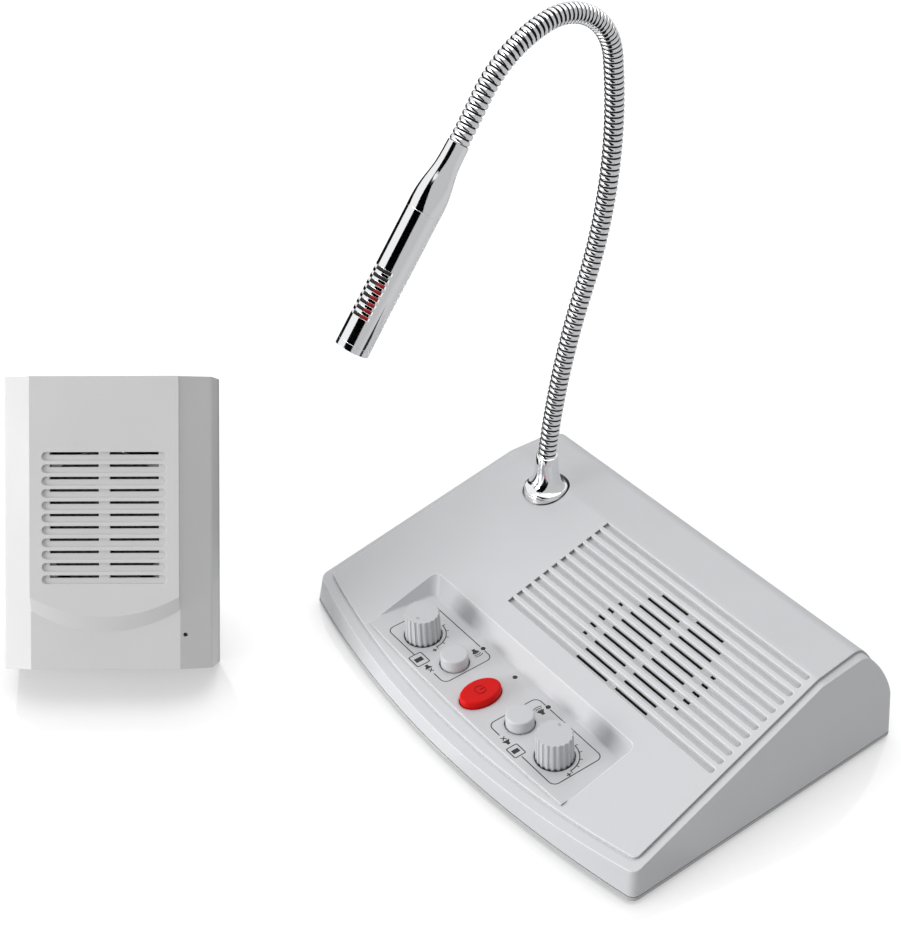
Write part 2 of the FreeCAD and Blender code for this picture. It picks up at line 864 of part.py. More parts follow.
def make_top_case():
    walls = case_walls(size.parting_height, ROOF_TOP + size.overrun, 0, 0)
    case = walls.common(roof_prism(size.ledge_drop, 0))
    front = size.panel_front_width / 2
    inset = size.panel_front_inset
    outline = bowed_outline(size.parting_height, front, size.panel_back_width / 2, inset, size.case_depth)
    panel = prism(outline, Vector(0, 0, ROOF_TOP + size.overrun))
    front_edges = [edge for edge in upright_edges(panel, size.overrun) if edge.BoundBox.YMax < size.crease_depth]
    panel = panel.makeFillet(size.panel_corner_round, front_edges)
    panel = panel.common(roof_prism(0, 0))
    case = case.fuse([panel, floor_lip()]).cut(case_void())
    cutters = [recess_space(0)] + groove_cutters() + slot_cutters() + control_holes()
    seat = place(size.ferrule_side, size.ferrule_depth, 0)
    cutters.append(bar(size.seat_radius, size.seat_height, ROOF_TOP + size.overrun, seat))
    cutters.append(bar(size.thread_radius + size.thread_gap, 0, size.seat_height + size.overrun, seat))
    for side, depth in case_screw_spots():
        top = TRAY_TOP + size.case_screw_length
        cutters.append(bar(size.case_screw_radius, TRAY_TOP - size.overrun, top, place(side, depth, 0)))
    for side, radius, height in socket_spots():
        back = size.case_depth + size.overrun
        spot = place(side, back, height, 90)
        cutters.append(bar(radius + size.nose_gap, 0, size.case_wall + 2 * size.overrun, spot))
    for turn in clamp_places():
        level = clamp_level(size.gasket_thickness)
        spot = speaker_place().multiply(turn).multiply(place(size.clamp_circle_radius, 0, -level))
        cutters.append(bar(size.board_screw_radius, -size.overrun, size.board_screw_length - size.overrun, spot))
    solid("top_case", case.cut(cutters))


def foot_spots():
    return [
        (side * size.foot_side, depth)
        for side in (-1, 1)
        for depth in (size.front_foot_depth, size.back_foot_depth)
    ]


def board_post_spots():
    inset = size.board_post_inset
    return [
        (side, depth)
        for side in (size.board_left + inset, size.board_right - inset)
        for depth in (size.board_front + inset, size.case_depth - size.board_back_inset - inset)
    ]


def make_bottom_tray():
    plate = case_walls(size.tray_bottom, TRAY_TOP, 0, 0)
    under_edges = [edge for edge in plate.Edges if edge.BoundBox.ZMax < size.tray_bottom + size.tray_edge_round / 4]
    plate = plate.makeFillet(size.tray_edge_round, under_edges)
    lip_inset = size.case_wall + size.lip_gap
    lip_top = TRAY_TOP + size.lip_height
    lip = case_walls(TRAY_TOP, lip_top, lip_inset, lip_inset)
    inner = lip_inset + size.lip_thickness
    lip = lip.cut(case_walls(TRAY_TOP - size.overrun, lip_top + size.overrun, inner, inner))
    posts = []
    for side, depth in board_post_spots():
        posts.append(bar(size.board_post_radius, TRAY_TOP, size.board_level, place(side, depth, 0)))
    tray = plate.fuse([lip] + posts)
    cutters = []
    for side, depth in case_screw_spots():
        spot = place(side, depth, 0)
        cutters.append(bar(size.case_boss_radius + size.lip_gap, TRAY_TOP, lip_top + size.overrun, spot))
        cutters.append(bar(size.case_screw_radius + size.screw_gap, 0, TRAY_TOP + size.overrun, spot))
        well = size.tray_bottom + size.screw_head_height
        cutters.append(bar(size.screw_head_radius + size.screw_gap, 0, well, spot))
    for side, depth in foot_spots():
        top = size.tray_bottom + size.foot_recess
        cutters.append(bar(size.foot_radius + size.foot_gap, 0, top, place(side, depth, 0)))
    for side, depth in board_post_spots():
        low = size.board_level - size.board_screw_length + size.board_thickness
        cutters.append(bar(size.board_screw_radius, low, size.board_level + size.overrun, place(side, depth, 0)))
    solid("bottom_tray", tray.cut(cutters))


def screw(head_radius, head_height, radius, length, where):
    """Pan screw pointing up from its head, with a cross slot in the head."""
    shape = bar(head_radius, 0, head_height).fuse(bar(radius, head_height, head_height + length))
    arm = head_radius * 0.6
    for turn in (0, 90):
        slot = block(Vector(-arm, -radius / 4, 0), Vector(arm, radius / 4, head_height / 2))
        slot.rotate(Vector(), Z_AXIS, turn)
        shape = shape.cut(slot)
    shape.Placement = where
    return shape


def make_feet_and_screws():
    feet = []
    top = size.tray_bottom + size.foot_recess
    for side, depth in foot_spots():
        foot = bar(size.foot_radius, 0, top)
        rim = [edge for edge in foot.Edges if edge.BoundBox.ZMax < top / 4]
        foot = foot.makeFillet(size.tray_edge_round / 2, rim)
        foot.Placement = place(side, depth, 0)
        feet.append(foot)
    group("rubber_feet", feet)
    screws = []
    length = TRAY_TOP - size.tray_bottom - size.screw_head_height + size.case_screw_length - size.screw_gap
    for side, depth in case_screw_spots():
        spot = place(side, depth, size.tray_bottom)
        head = (size.screw_head_radius, size.screw_head_height)
        screws.append(screw(*head, size.case_screw_radius, length, spot))
    group("case_screws", screws)


def make_control_board():
    half = "control_board_width / 2"
    outline = [
        ("-" + half, "-control_board_front"),
        (half, "-control_board_front"),
        (half, "control_board_back"),
        ("-" + half, "control_board_back"),
    ]
    board = plate_part("control_board", outline, "board_thickness", on_floor(0, 0, BOARD_UNDERSIDE))
    spots = []
    for side in ("-control_boss_side", "control_boss_side"):
        for depth in ("control_boss_front", "control_boss_back"):
            spots.append((side, depth + " / cos(floor_angle)"))
    drill_plate(board, "control_board", spots, "board_screw_radius + screw_gap")
    screws = []
    for side, depth in control_screw_spots():
        spot = on_floor(side, depth, BOARD_UNDERSIDE - size.board_screw_head_height)
        length = size.board_screw_length + size.board_thickness - size.screw_gap
        head = (size.board_screw_head_radius, size.board_screw_head_height)
        screws.append(screw(*head, size.board_screw_radius, length, spot))
    return screws


def make_volume_controls():
    pots = []
    pot_top = BOARD_TOP + size.pot_height
    shaft_foot = BOARD_TOP + size.pot_floor
    for name, side in (("left", -size.knob_side), ("right", size.knob_side)):
        spot = on_floor(side, size.knob_depth)
        low = Vector(-size.pot_width / 2, -size.pot_length / 2, BOARD_TOP)
        pot = block(low, Vector(size.pot_width / 2, size.pot_length / 2, pot_top))
        bore = bar(size.shaft_radius + size.shaft_gap, shaft_foot, pot_top + size.overrun)
        pot = pot.cut(bore)
        pot.Placement = spot
        pots.append(pot)
        length = "shaft_top + floor_wall + pot_gap + pot_height - pot_floor - shaft_gap"
        where = on_floor(side, size.knob_depth, shaft_foot + size.shaft_gap)
        cylinder_part(name + "_pot_shaft", "shaft_radius", length, where)
    group("volume_pots", pots)


def make_knob(name, side, mark_angle, mark_radius):
    """Fluted cap, hollow underneath round a hub, with a dimple marking its setting."""
    knob = Part.makeCone(size.knob_bottom_radius, size.knob_top_radius, size.knob_height + size.knob_sink)
    cutters = []
    for index in range(int(size.knob_flute_count)):
        flute = Part.makeCylinder(size.knob_flute_radius, size.knob_height + size.knob_sink + 2 * size.overrun)
        lean = math.atan2(size.knob_bottom_radius - size.knob_top_radius, size.knob_height + size.knob_sink)
        flute.Placement = Placement(Vector(0, 0, -size.overrun), Rotation(Y_AXIS, -math.degrees(lean)))
        out = size.knob_bottom_radius + size.knob_flute_radius / 2
        turn = Rotation(Z_AXIS, 360 * index / size.knob_flute_count)
        flute.Placement = Placement(turn.multVec(Vector(out, 0, 0)), turn).multiply(flute.Placement)
        cutters.append(flute)
    hollow_top = size.knob_height + size.knob_sink - size.knob_cap
    hollow = bar(size.knob_hollow_radius, -size.overrun, hollow_top)
    cutters.append(hollow.cut(bar(size.knob_hub_radius, 0, hollow_top)))
    cutters.append(bar(size.shaft_radius, -size.overrun, size.shaft_top + size.knob_sink))
    centre = Vector(mark_radius * sine(mark_angle), mark_radius * cosine(mark_angle), 0)
    centre.z = size.knob_height + size.knob_sink + size.dimple_radius - size.dimple_sink
    cutters.append(Part.makeSphere(size.dimple_radius, centre))
    solid(name, knob.cut(cutters), on_floor(side, size.knob_depth, -size.knob_sink))


def make_button(name, side):
    """Round cap with a retaining flange and a short stem over its switch."""
    cap = bar(size.button_radius, FLANGE_TOP, size.button_stand)
    rim = [edge for edge in cap.Edges if edge.BoundBox.ZMin > size.button_stand / 2]
    cap = cap.makeFillet(size.button_top_round, rim)
    flange_low = FLANGE_TOP - size.button_flange_thickness
    flange = bar(size.button_hole_radius + size.button_flange, flange_low, FLANGE_TOP)
    stem = bar(size.stem_radius, STEM_END, flange_low)
    solid(name, cap.fuse([flange, stem]), on_floor(side, size.button_depth))


def make_power_button():
    """Red oval cap with its flange and stem, the power symbol sunk into the top."""
    cap = oval(0, FLANGE_TOP, size.power_stand)
    rim = [edge for edge in cap.Edges if edge.BoundBox.ZMin > size.power_stand / 2]
    cap = cap.makeFillet(size.power_top_round, rim)
    flange_low = FLANGE_TOP - size.button_flange_thickness
    flange = oval(size.power_hole_gap + size.button_flange, flange_low, FLANGE_TOP)
    reach = size.power_half_length * 2
    front = block(Vector(-reach, -reach, flange_low), Vector(reach, -size.power_flange_reach, FLANGE_TOP))
    flange = flange.cut(front)
    stem = bar(size.stem_radius, STEM_END, flange_low)
    low = size.power_stand - size.symbol_sink
    high = size.power_stand + size.overrun
    ring = bar(size.symbol_radius, low, high).cut(bar(size.symbol_radius - size.symbol_line, low, high))
    gap_half = size.symbol_radius * tangent(size.symbol_gap_angle / 2)
    points = [Vector(0, 0, low), Vector(gap_half, size.symbol_radius, low), Vector(-gap_half, size.symbol_radius, low)]
    ring = ring.cut(prism(Part.makePolygon(points + points[:1]), Vector(0, 0, high - low)))
    line = block(Vector(-size.symbol_line / 2, 0, low), Vector(size.symbol_line / 2, size.symbol_radius, high))
    cap = cap.fuse([flange, stem]).cut([ring, line])
    solid("power_button", cap, on_floor(0, size.power_depth))


def switch_body(width, where):
    """Square switch case with a round well for its plunger."""
    top = STEM_END - size.button_travel - size.button_gap
    low = Vector(-width / 2, -width / 2, BOARD_TOP)
    shape = block(low, Vector(width / 2, width / 2, top))
    well = bar(size.plunger_radius + size.plunger_gap, top - size.plunger_well, top + size.overrun)
    shape = shape.cut(well)
    shape.Placement = where
    return shape


def make_switches():
    spots = {
        "left": on_floor(-size.button_side, size.button_depth),
        "right": on_floor(size.button_side, size.button_depth),
    }
    bodies = [switch_body(size.switch_width, spot) for spot in spots.values()]
    spots["power"] = on_floor(0, size.power_depth)
    group("push_switches", bodies + [switch_body(size.power_switch_width, spots["power"])])
    for name, spot in spots.items():
        where = spot.multiply(place(0, 0, STEM_END - size.plunger_length))
        cylinder_part(name + "_plunger", "plunger_radius", "plunger_length", where)


def make_leds():
    lamps = []
    shoulder = -size.floor_wall - size.button_gap
    for side in (-size.led_side, 0, size.led_side):
        lamp = bar(size.led_body_radius, BOARD_TOP, shoulder).fuse(bar(size.led_radius, shoulder, -size.led_sink))
        lamp.Placement = on_floor(side, size.led_depth)
        lamps.append(lamp)
    group("indicator_leds", lamps)


def make_main_board():
    outline = [
        ("board_left", "board_front"),
        ("board_right", "board_front"),
        ("board_right", "case_depth - board_back_inset"),
        ("board_left", "case_depth - board_back_inset"),
    ]
    board = plate_part("main_board", outline, "board_thickness", place(0, 0, size.board_level))
    spots = []
    for side in ("board_left + board_post_inset", "board_right - board_post_inset"):
        for depth in ("board_front + board_post_inset", "case_depth - board_back_inset - board_post_inset"):
            spots.append((side, depth))
    drill_plate(board, "main_board", spots, "board_screw_radius + screw_gap")
    screws = []
    top = size.board_level + size.board_thickness + size.board_screw_head_height
    for side, depth in board_post_spots():
        spot = Placement(Vector(side, depth, top), Rotation(X_AXIS, 180))
        head = (size.board_screw_head_radius, size.board_screw_head_height)
        length = size.board_screw_length - size.screw_gap
        screws.append(screw(*head, size.board_screw_radius, length, spot))
    return screws


BOARD_FACE = size.board_level + size.board_thickness


def make_board_pieces():
    cans = []
    for column, row in ((0, 0), (1, 0), (0, 1)):
        side = size.capacitor_side + column * size.capacitor_pitch
        depth = size.capacitor_depth + row * size.capacitor_pitch
        can = bar(size.capacitor_radius, BOARD_FACE, BOARD_FACE + size.capacitor_height, place(side, depth, 0))
        cans.append(can)
    group("capacitors", cans)
    half = size.amplifier_width / 2
    low = Vector(size.amplifier_side - half, size.amplifier_depth, BOARD_FACE)
    chip = block(low, low + Vector(size.amplifier_width, size.amplifier_thickness, size.amplifier_height))
    solid("amplifier_chip", chip)
    back = low + Vector(0, size.amplifier_thickness, 0)
    plate = block(back, back + Vector(size.amplifier_width, size.sink_thickness, size.sink_height))
    fins = []
    gap = (size.amplifier_width - size.sink_fin_count * size.sink_thickness) / (size.sink_fin_count - 1)
    for index in range(int(size.sink_fin_count)):
        start = back + Vector(index * (gap + size.sink_thickness), size.sink_thickness, 0)
        fins.append(block(start, start + Vector(size.sink_thickness, size.sink_fin_length, size.sink_height)))
    solid("heat_sink", plate.fuse(fins))


def connector(side, depth):
    low = Vector(side - size.connector_width / 2, depth - size.connector_length / 2, BOARD_FACE)
    return block(low, low + Vector(size.connector_width, size.connector_length, size.connector_height))


def control_connector():
    """Connector at the back edge of the control board, on its upper face."""
    low = Vector(-size.connector_width / 2, size.control_board_back - size.connector_length, 0)
    high = low + Vector(size.connector_width, size.connector_length, size.connector_height)
    return block(low, high, on_floor(0, 0, BOARD_TOP).multiply(place(size.control_connector_side, 0, 0)))


def make_connectors():
    group("board_connectors", [
        connector(size.mic_connector_side, size.mic_connector_depth),
        connector(size.speaker_connector_side, size.speaker_connector_depth),
        connector(size.link_connector_side, size.link_connector_depth),
        control_connector(),
    ])


def make_jack(side, body_back, back, box, nose, bore, core):
    """Box-shaped socket with a round nose that reaches through the case wall."""
    width, length, height = box
    low = Vector(side - width / 2, body_back - length, BOARD_FACE)
    shape = block(low, low + Vector(width, length, height))
    axis = Placement(Vector(side, back, BOARD_FACE + height / 2), Rotation(X_AXIS, 90))
    shape = shape.fuse(bar(nose, 0, back - body_back, axis))
    hole = bar(bore, -size.overrun, size.jack_bore_length)
    if core > 0:
        hole = hole.cut(bar(core, size.nose_sink, size.jack_bore_length))
    hole.Placement = axis
    return shape.cut(hole)


def make_rear_sockets():
    body_back = size.case_depth - size.case_wall - size.socket_setback
    back = size.case_depth - size.nose_sink
    power = make_jack(
        size.power_socket_side, body_back, back,
        (size.power_socket_width, size.power_socket_length, size.power_socket_height),
        size.power_nose_radius, size.power_bore_radius, size.power_pin_radius,
    )
    solid("power_socket", power)
    jacks = [
        make_jack(
            side, body_back, back, (size.jack_width, size.jack_length, size.jack_height),
            size.jack_nose_radius, size.jack_bore_radius, 0,
        )
        for side in (size.link_socket_side, size.audio_socket_side)
    ]
    group("jack_sockets", jacks)


def make_speaker(prefix, frame, gasket):
    """Round loudspeaker facing +Z of its frame, held by four screwed clamps; returns their screws."""
    level = -size.cloth_thickness - gasket
    cloth = "clamp_circle_radius - clamp_boss_radius - 4 * lip_gap" if gasket else "speaker_radius"
    where = frame.multiply(place(0, 0, -size.cloth_thickness))
    cylinder_part(prefix + "speaker_cloth", cloth, "cloth_thickness", where)
    where = frame.multiply(place(0, 0, level))
    if gasket:
        inner = "speaker_radius - gasket_width"
        ring_part(prefix + "speaker_gasket", "speaker_radius", inner, "gasket_thickness", where)
    inner = "speaker_radius - rim_width"
    turned_part(prefix + "speaker_basket", [
        ("0", "-basket_depth - rim_thickness"),
        ("basket_back_radius", "-basket_depth - rim_thickness"),
        (inner + " + rim_thickness", "-rim_thickness"),
        ("speaker_radius", "-rim_thickness"),
        ("speaker_radius", "0"),
        (inner, "0"),
        ("basket_back_radius - rim_thickness", "-basket_depth"),
        ("0", "-basket_depth"),
    ], where)
    edge = inner + " - cone_gap"
    turned_part(prefix + "speaker_cone", [
        ("0", "dust_cap_height - cone_depth - cone_thickness"),
        ("cone_throat_radius / 2", "dust_cap_height * 0.75 - cone_depth - cone_thickness"),
        ("cone_throat_radius", "-cone_depth - cone_thickness"),
        (edge, "-cone_thickness"),
        (edge, "0"),
        ("cone_throat_radius", "-cone_depth"),
        ("cone_throat_radius / 2", "dust_cap_height * 0.75 - cone_depth"),
        ("0", "dust_cap_height - cone_depth"),
    ], where)
    magnet_low = level - size.basket_depth - size.rim_thickness - size.magnet_height
    where = frame.multiply(place(0, 0, magnet_low))
    cylinder_part(prefix + "speaker_magnet", "magnet_radius", "magnet_height", where)
    return make_clamps(prefix, frame, -clamp_level(gasket))


def make_clamps(prefix, frame, level):
    """Four clamps over the speaker's rim; returns their screws."""
    clamps = []
    screws = []
    for turn in clamp_places():
        spot = frame.multiply(turn)
        low = Vector(size.clamp_inner_radius, -size.clamp_width / 2, level - size.clamp_thickness)
        high = Vector(size.clamp_outer_radius, size.clamp_width / 2, level)
        middle = place(size.clamp_circle_radius, 0, 0)
        hole = bar(size.board_screw_radius + size.screw_gap, low.z - size.overrun, high.z + size.overrun, middle)
        clamp = block(low, high).cut(hole)
        clamp.Placement = spot
        clamps.append(clamp)
        head = (size.board_screw_head_radius, size.board_screw_head_height)
        foot = low.z - size.board_screw_head_height
        where = spot.multiply(place(size.clamp_circle_radius, 0, foot))
        length = size.clamp_thickness + size.board_screw_length - size.overrun - size.screw_gap
        screws.append(screw(*head, size.board_screw_radius, length, where))
    group(prefix + "speaker_clamps", clamps)
    return screws


def ferrule_frame():
    return place(size.ferrule_side, size.ferrule_depth, size.seat_height)


def make_ferrule():
    """Chrome foot: threaded stem, round base, flare and slim cone ending in a ball cup."""
    top = size.neck_start_height - size.joint_gap - size.seat_height
    base = size.ferrule_base_height
    flare = size.ferrule_flare_height
    rise = flare - base
    wide = size.ferrule_shoulder_radius
    slim = size.ferrule_flare_radius
    middle = Vector(slim + (wide - slim) * 0.32, 0, base + rise * 0.38)
    edges = [
        Part.makeLine(Vector(0, 0, -size.thread_reach), Vector(size.thread_radius, 0, -size.thread_reach)),
        Part.makeLine(Vector(size.thread_radius, 0, -size.thread_reach), Vector(size.thread_radius, 0, 0)),
        Part.makeLine(Vector(size.thread_radius, 0, 0), Vector(size.ferrule_base_radius, 0, 0)),
        Part.makeLine(Vector(size.ferrule_base_radius, 0, 0), Vector(size.ferrule_base_radius, 0, base)),
        Part.makeLine(Vector(size.ferrule_base_radius, 0, base), Vector(wide, 0, base)),
        Part.Arc(Vector(wide, 0, base), middle, Vector(slim, 0, flare)).toShape(),
        Part.makeLine(Vector(slim, 0, flare), Vector(size.ferrule_top_radius, 0, top)),
        Part.makeLine(Vector(size.ferrule_top_radius, 0, top), Vector(0, 0, top)),
        Part.makeLine(Vector(0, 0, top), Vector(0, 0, -size.thread_reach)),
    ]
    shape = Part.Face(Part.Wire(edges)).revolve(Vector(), Z_AXIS, 360)
    rim = [
        edge for edge in shape.Edges
        if abs(edge.BoundBox.ZMin - base) + abs(edge.BoundBox.ZMax - base) < size.thread_gap
        and edge.BoundBox.XLength > 2 * size.ferrule_base_radius - size.thread_gap
    ]
    shape = shape.makeFillet(size.ferrule_edge_round, rim)
    cup = Part.makeSphere(size.ball_radius + size.ball_gap, Vector(0, 0, top))
    bore = bar(size.bore_radius, -size.thread_reach - size.overrun, top + size.overrun)
    solid("ferrule", shape.cut([cup, bore]), ferrule_frame())
    low = -size.seat_boss_thickness - size.washer_thickness
    washer = bar(size.washer_radius, low, low + size.washer_thickness)
    washer = washer.cut(bar(size.thread_radius + size.thread_gap, low - size.overrun, size.overrun))
    corner = Vector(size.nut_flats / 2 / cosine(30), 0, low)
    corners = [Rotation(Z_AXIS, 60 * turn).multVec(corner) for turn in range(7)]
    nut = prism(Part.makePolygon(corners), Vector(0, 0, -size.nut_thickness))
    nut = nut.cut(bar(size.thread_radius, low - size.nut_thickness - size.overrun, low + size.overrun))
    for piece in (washer, nut):
        piece.Placement = ferrule_frame()
    group("ferrule_fixings", [washer, nut])


class Route:
    """Centre line in the plane of the ferrule, walked as straights and arcs."""

    def __init__(self, point, heading):
        self.point = point
        self.heading = heading
        self.stations = [(0.0, point, heading)]
        self.length = 0.0

    def go(self, length, turn, steps):
        """Adds a stretch of steady curvature in equal steps."""
        for index in range(steps):
            step = length / steps
            swing = turn / steps
            chord_heading = self.heading + swing / 2
            chord = step
            if swing:
                chord = step * math.sin(math.radians(swing / 2)) / math.radians(swing / 2)
            move = Vector(0, cosine(chord_heading), sine(chord_heading)) * chord
            self.point = self.point + move
            self.heading += swing
            self.length += step
            self.stations.append((self.length, self.point, self.heading))

    def frame(self):
        """Placement at the end of the route with Z along it and X kept level."""
        return Placement(self.point, Rotation(X_AXIS, self.heading - 90))


def circle_at(point, heading, radius):
    edge = Part.Circle(Vector(), Z_AXIS, radius).toShape()
    edge.Placement = Placement(point, Rotation(X_AXIS, heading - 90))
    return Part.Wire(edge)


def ribbed_tube(route_start, stretches):
    """Ribbed outside and smooth bore along a route of arcs; returns the solid and the route's end."""
    route = Route(route_start.point, route_start.heading)
    outside = []
    inside = [circle_at(route.point, route.heading, size.bore_radius)]
    for length, turn in stretches:
        ribs = max(int(round(length / size.rib_pitch)), 1)
        for index in range(ribs):
            pitch = length / ribs
            swing = turn / ribs
            before = 0.0
            radii = (size.groove_radius, size.neck_radius, size.neck_radius, size.groove_radius)
            for share, radius in zip(RIB_SHARES, radii):
                if share > before:
                    route.go(pitch * (share - before), swing * (share - before), 1)
                before = share
                outside.append(circle_at(route.point, route.heading, radius))
            route.go(pitch * (1 - before), swing * (1 - before), 1)
            inside.append(circle_at(route.point, route.heading, size.bore_radius))
    outside.append(circle_at(route.point, route.heading, size.groove_radius))
    tube = Part.makeLoft(outside, True, True).cut(Part.makeLoft(inside, True, True))
    return tube, route


def ball_end(frame):
    """Hollow ball of a neck joint with its stub up to the first rib."""
    ball = Part.makeSphere(size.ball_radius)
    stub = bar(size.bore_radius + (size.ball_radius - size.bore_radius) / 2, 0, size.joint_gap)
    shape = ball.fuse(stub)
    top = block(Vector(-1, -1, 0) * size.ball_radius * 2, Vector(1, 1, 2) * size.ball_radius * 2)
    top.translate(Vector(0, 0, size.joint_gap))
    shape = shape.cut([top, bar(size.bore_radius, -size.ball_radius * 2, size.ball_radius * 2)])
    shape.Placement = frame
    return shape


def cup_end(frame):
    """Plain ring at the end of a neck segment with the cup for the next ball in its face."""
    ring = bar(size.neck_radius, -size.cup_length, 0)
    cup = Part.makeSphere(size.ball_radius + size.ball_gap)
    ring = ring.cut([cup, bar(size.bore_radius, -size.cup_length - size.overrun, size.overrun)])
    ring.Placement = frame
    return ring


def make_neck_segment(label, start, stretches, with_cup):
    """One stiff length of the gooseneck from its ball to the next joint."""
    ball_frame = start.frame()
    run = Route(start.point, start.heading)
    run.go(size.joint_gap, 0, 1)
    lengths = list(stretches)
    first_length, first_turn = lengths[0]
    lengths[0] = (first_length - size.joint_gap, first_turn)
    if with_cup:
        last_length, last_turn = lengths[-1]
        lengths[-1] = (last_length - size.cup_length, last_turn)
    tube, end = ribbed_tube(run, lengths)
    shape = tube.fuse(ball_end(ball_frame))
    if with_cup:
        end.go(size.cup_length, 0, 1)
        shape = shape.fuse(cup_end(end.frame()))
    solid(label, shape)
    return end


def report_joint(name, frame, axis):
    """Prints a joint's centre and axis in the set's frame, in millimetres."""
    centre = SET_PLACE.multVec(frame.Base)
    print("joint %s %.4f %.4f %.4f axis %.6f %.6f %.6f" % (name, *centre, *axis))


def make_neck():
    """Gooseneck in four stiff lengths; returns the frame where the microphone starts."""
    joint_height = size.neck_start_height - size.joint_gap
    start = Route(Vector(size.ferrule_side, size.ferrule_depth, joint_height), size.neck_start_angle)
    report_joint("neck_base", start.frame(), X_AXIS)
    gap = size.joint_gap
    end = make_neck_segment("neck_lower", start, [(size.lower_length + gap, size.lower_turn_angle)], True)
    normal = Vector(0, -sine(end.heading), cosine(end.heading))
    report_joint("neck_swing", end.frame(), normal)
    end = make_neck_segment("neck_middle", end, [(size.middle_length, size.middle_turn_angle)], True)
    report_joint("neck_bend", end.frame(), X_AXIS)
    stretches = [(size.arch_length, size.arch_turn_angle), (size.arch_end_length, size.arch_end_turn_angle)]
    end = make_neck_segment("neck_arch", end, stretches, True)
    report_joint("neck_tip_bend", end.frame(), X_AXIS)
    end = make_neck_segment("neck_tip", end, [(size.tip_length, size.tip_turn_angle)], False)
    return end.frame()


def make_mic_cone(frame):
    """Shoulder that widens from the neck to the barrel, hollow inside."""
    rise = size.mic_radius - size.mic_neck_radius
    points = [Vector(size.mic_neck_radius, 0, 0)]
    for share, up in zip(SHOULDER_SHARES, SHOULDER_RISE_SHARES):
        points.append(Vector(size.mic_neck_radius + rise * up, 0, size.mic_cone_length * share))
    points.append(Vector(size.mic_radius, 0, size.mic_cone_length))
    curve = Part.BSplineCurve()
    curve.interpolate(points)
    edges = [
        Part.makeLine(Vector(size.bore_radius, 0, 0), points[0]),
        curve.toShape(),
        Part.makeLine(points[-1], Vector(size.mic_radius - size.mic_wall, 0, size.mic_cone_length)),
        Part.makeLine(Vector(size.mic_radius - size.mic_wall, 0, size.mic_cone_length),
                      Vector(size.bore_radius, 0, size.mic_cone_length * SHOULDER_SHARES[2])),
        Part.makeLine(Vector(size.bore_radius, 0, size.mic_cone_length * SHOULDER_SHARES[2]),
                      Vector(size.bore_radius, 0, 0)),
    ]
    solid("mic_cone", Part.Face(Part.Wire(edges)).revolve(Vector(), Z_AXIS, 360), frame)


def make_mic(frame):
    """Barrel with slots on two sides, red lining, capsule, screen and end ring."""
    make_mic_cone(frame)
    seam = frame.multiply(place(0, 0, size.mic_cone_length))
    barrel_length = size.mic_length - size.mic_ring_length
    inner = size.mic_radius - size.mic_wall
    barrel = bar(size.mic_radius, 0, barrel_length).cut(bar(inner, 0, barrel_length))
    cutters = []
    for index in range(int(size.mic_slot_count)):
        start = size.mic_slot_start + index * size.mic_slot_pitch
        for side in (-1, 1):
            low = Vector(-size.mic_radius - size.overrun, size.mic_slot_floor, start)
            high = Vector(size.mic_radius + size.overrun, size.mic_radius + size.overrun, start + size.mic_slot_width)
            slot = block(low, high)
            if side < 0:
                slot.rotate(Vector(), Z_AXIS, 180)
            cutters.append(slot)
    solid("mic_barrel", barrel.cut(cutters), seam)
    ring_frame = seam.multiply(place(0, 0, barrel_length))
    ring_part("mic_end_ring", "mic_radius", "mic_radius - mic_rim", "mic_ring_length", ring_frame)
    ring_part("mic_lining", "mic_radius - mic_wall - lining_gap",
              "mic_radius - mic_wall - lining_gap - lining_thickness", "lining_length",
              seam.multiply(place(0, 0, size.lining_start)))
    capsule_start = size.lining_start + size.lining_length - size.capsule_length
    cylinder_part("mic_capsule", "capsule_radius", "capsule_length", seam.multiply(place(0, 0, capsule_start)))
    screen_start = barrel_length - size.mic_screen_thickness
    cylinder_part("mic_screen", "mic_radius - mic_wall - lining_gap", "mic_screen_thickness",
                  seam.multiply(place(0, 0, screen_start)))


def lead_route(label, points, radius):
    """Round lead along straight runs joined by tangent arcs as large as the runs allow."""
    edges = []
    last = points[0]
    radii = []
    for index in range(1, len(points) - 1):
        corner = points[index]
        before = points[index - 1] - corner
        after = points[index + 1] - corner
        shorter = min(before.Length, after.Length)
        half_turn = (math.pi - before.getAngle(after)) / 2
        reach = 0.45 * shorter
        bend = reach / math.tan(half_turn)
        radii.append(round(bend, 1))
        before.normalize()
        after.normalize()
        entry = corner + before * reach
        leave = corner + after * reach
        inward = (before + after).normalize()
        middle = corner + inward * (bend / math.cos(half_turn) - bend)
        edges.append(Part.makeLine(last, entry))
        edges.append(Part.Arc(entry, middle, leave).toShape())
        last = leave
    edges.append(Part.makeLine(last, points[-1]))
    path = Part.Wire(edges)
    start = points[1] - points[0]
    section = Part.Wire(Part.Circle(points[0], start, radius).toShape())
    tube = path.makePipeShell([section], True, False)
    print("lead", label, "radii", radii, "volume", round(tube.Volume / (path.Length * math.pi * radius ** 2), 4))
    solid(label, tube)


# Leads inside the console: radii and hand-chosen points in the console frame
LEAD_RADIUS = 1.1
LINK_RADIUS = 1.6


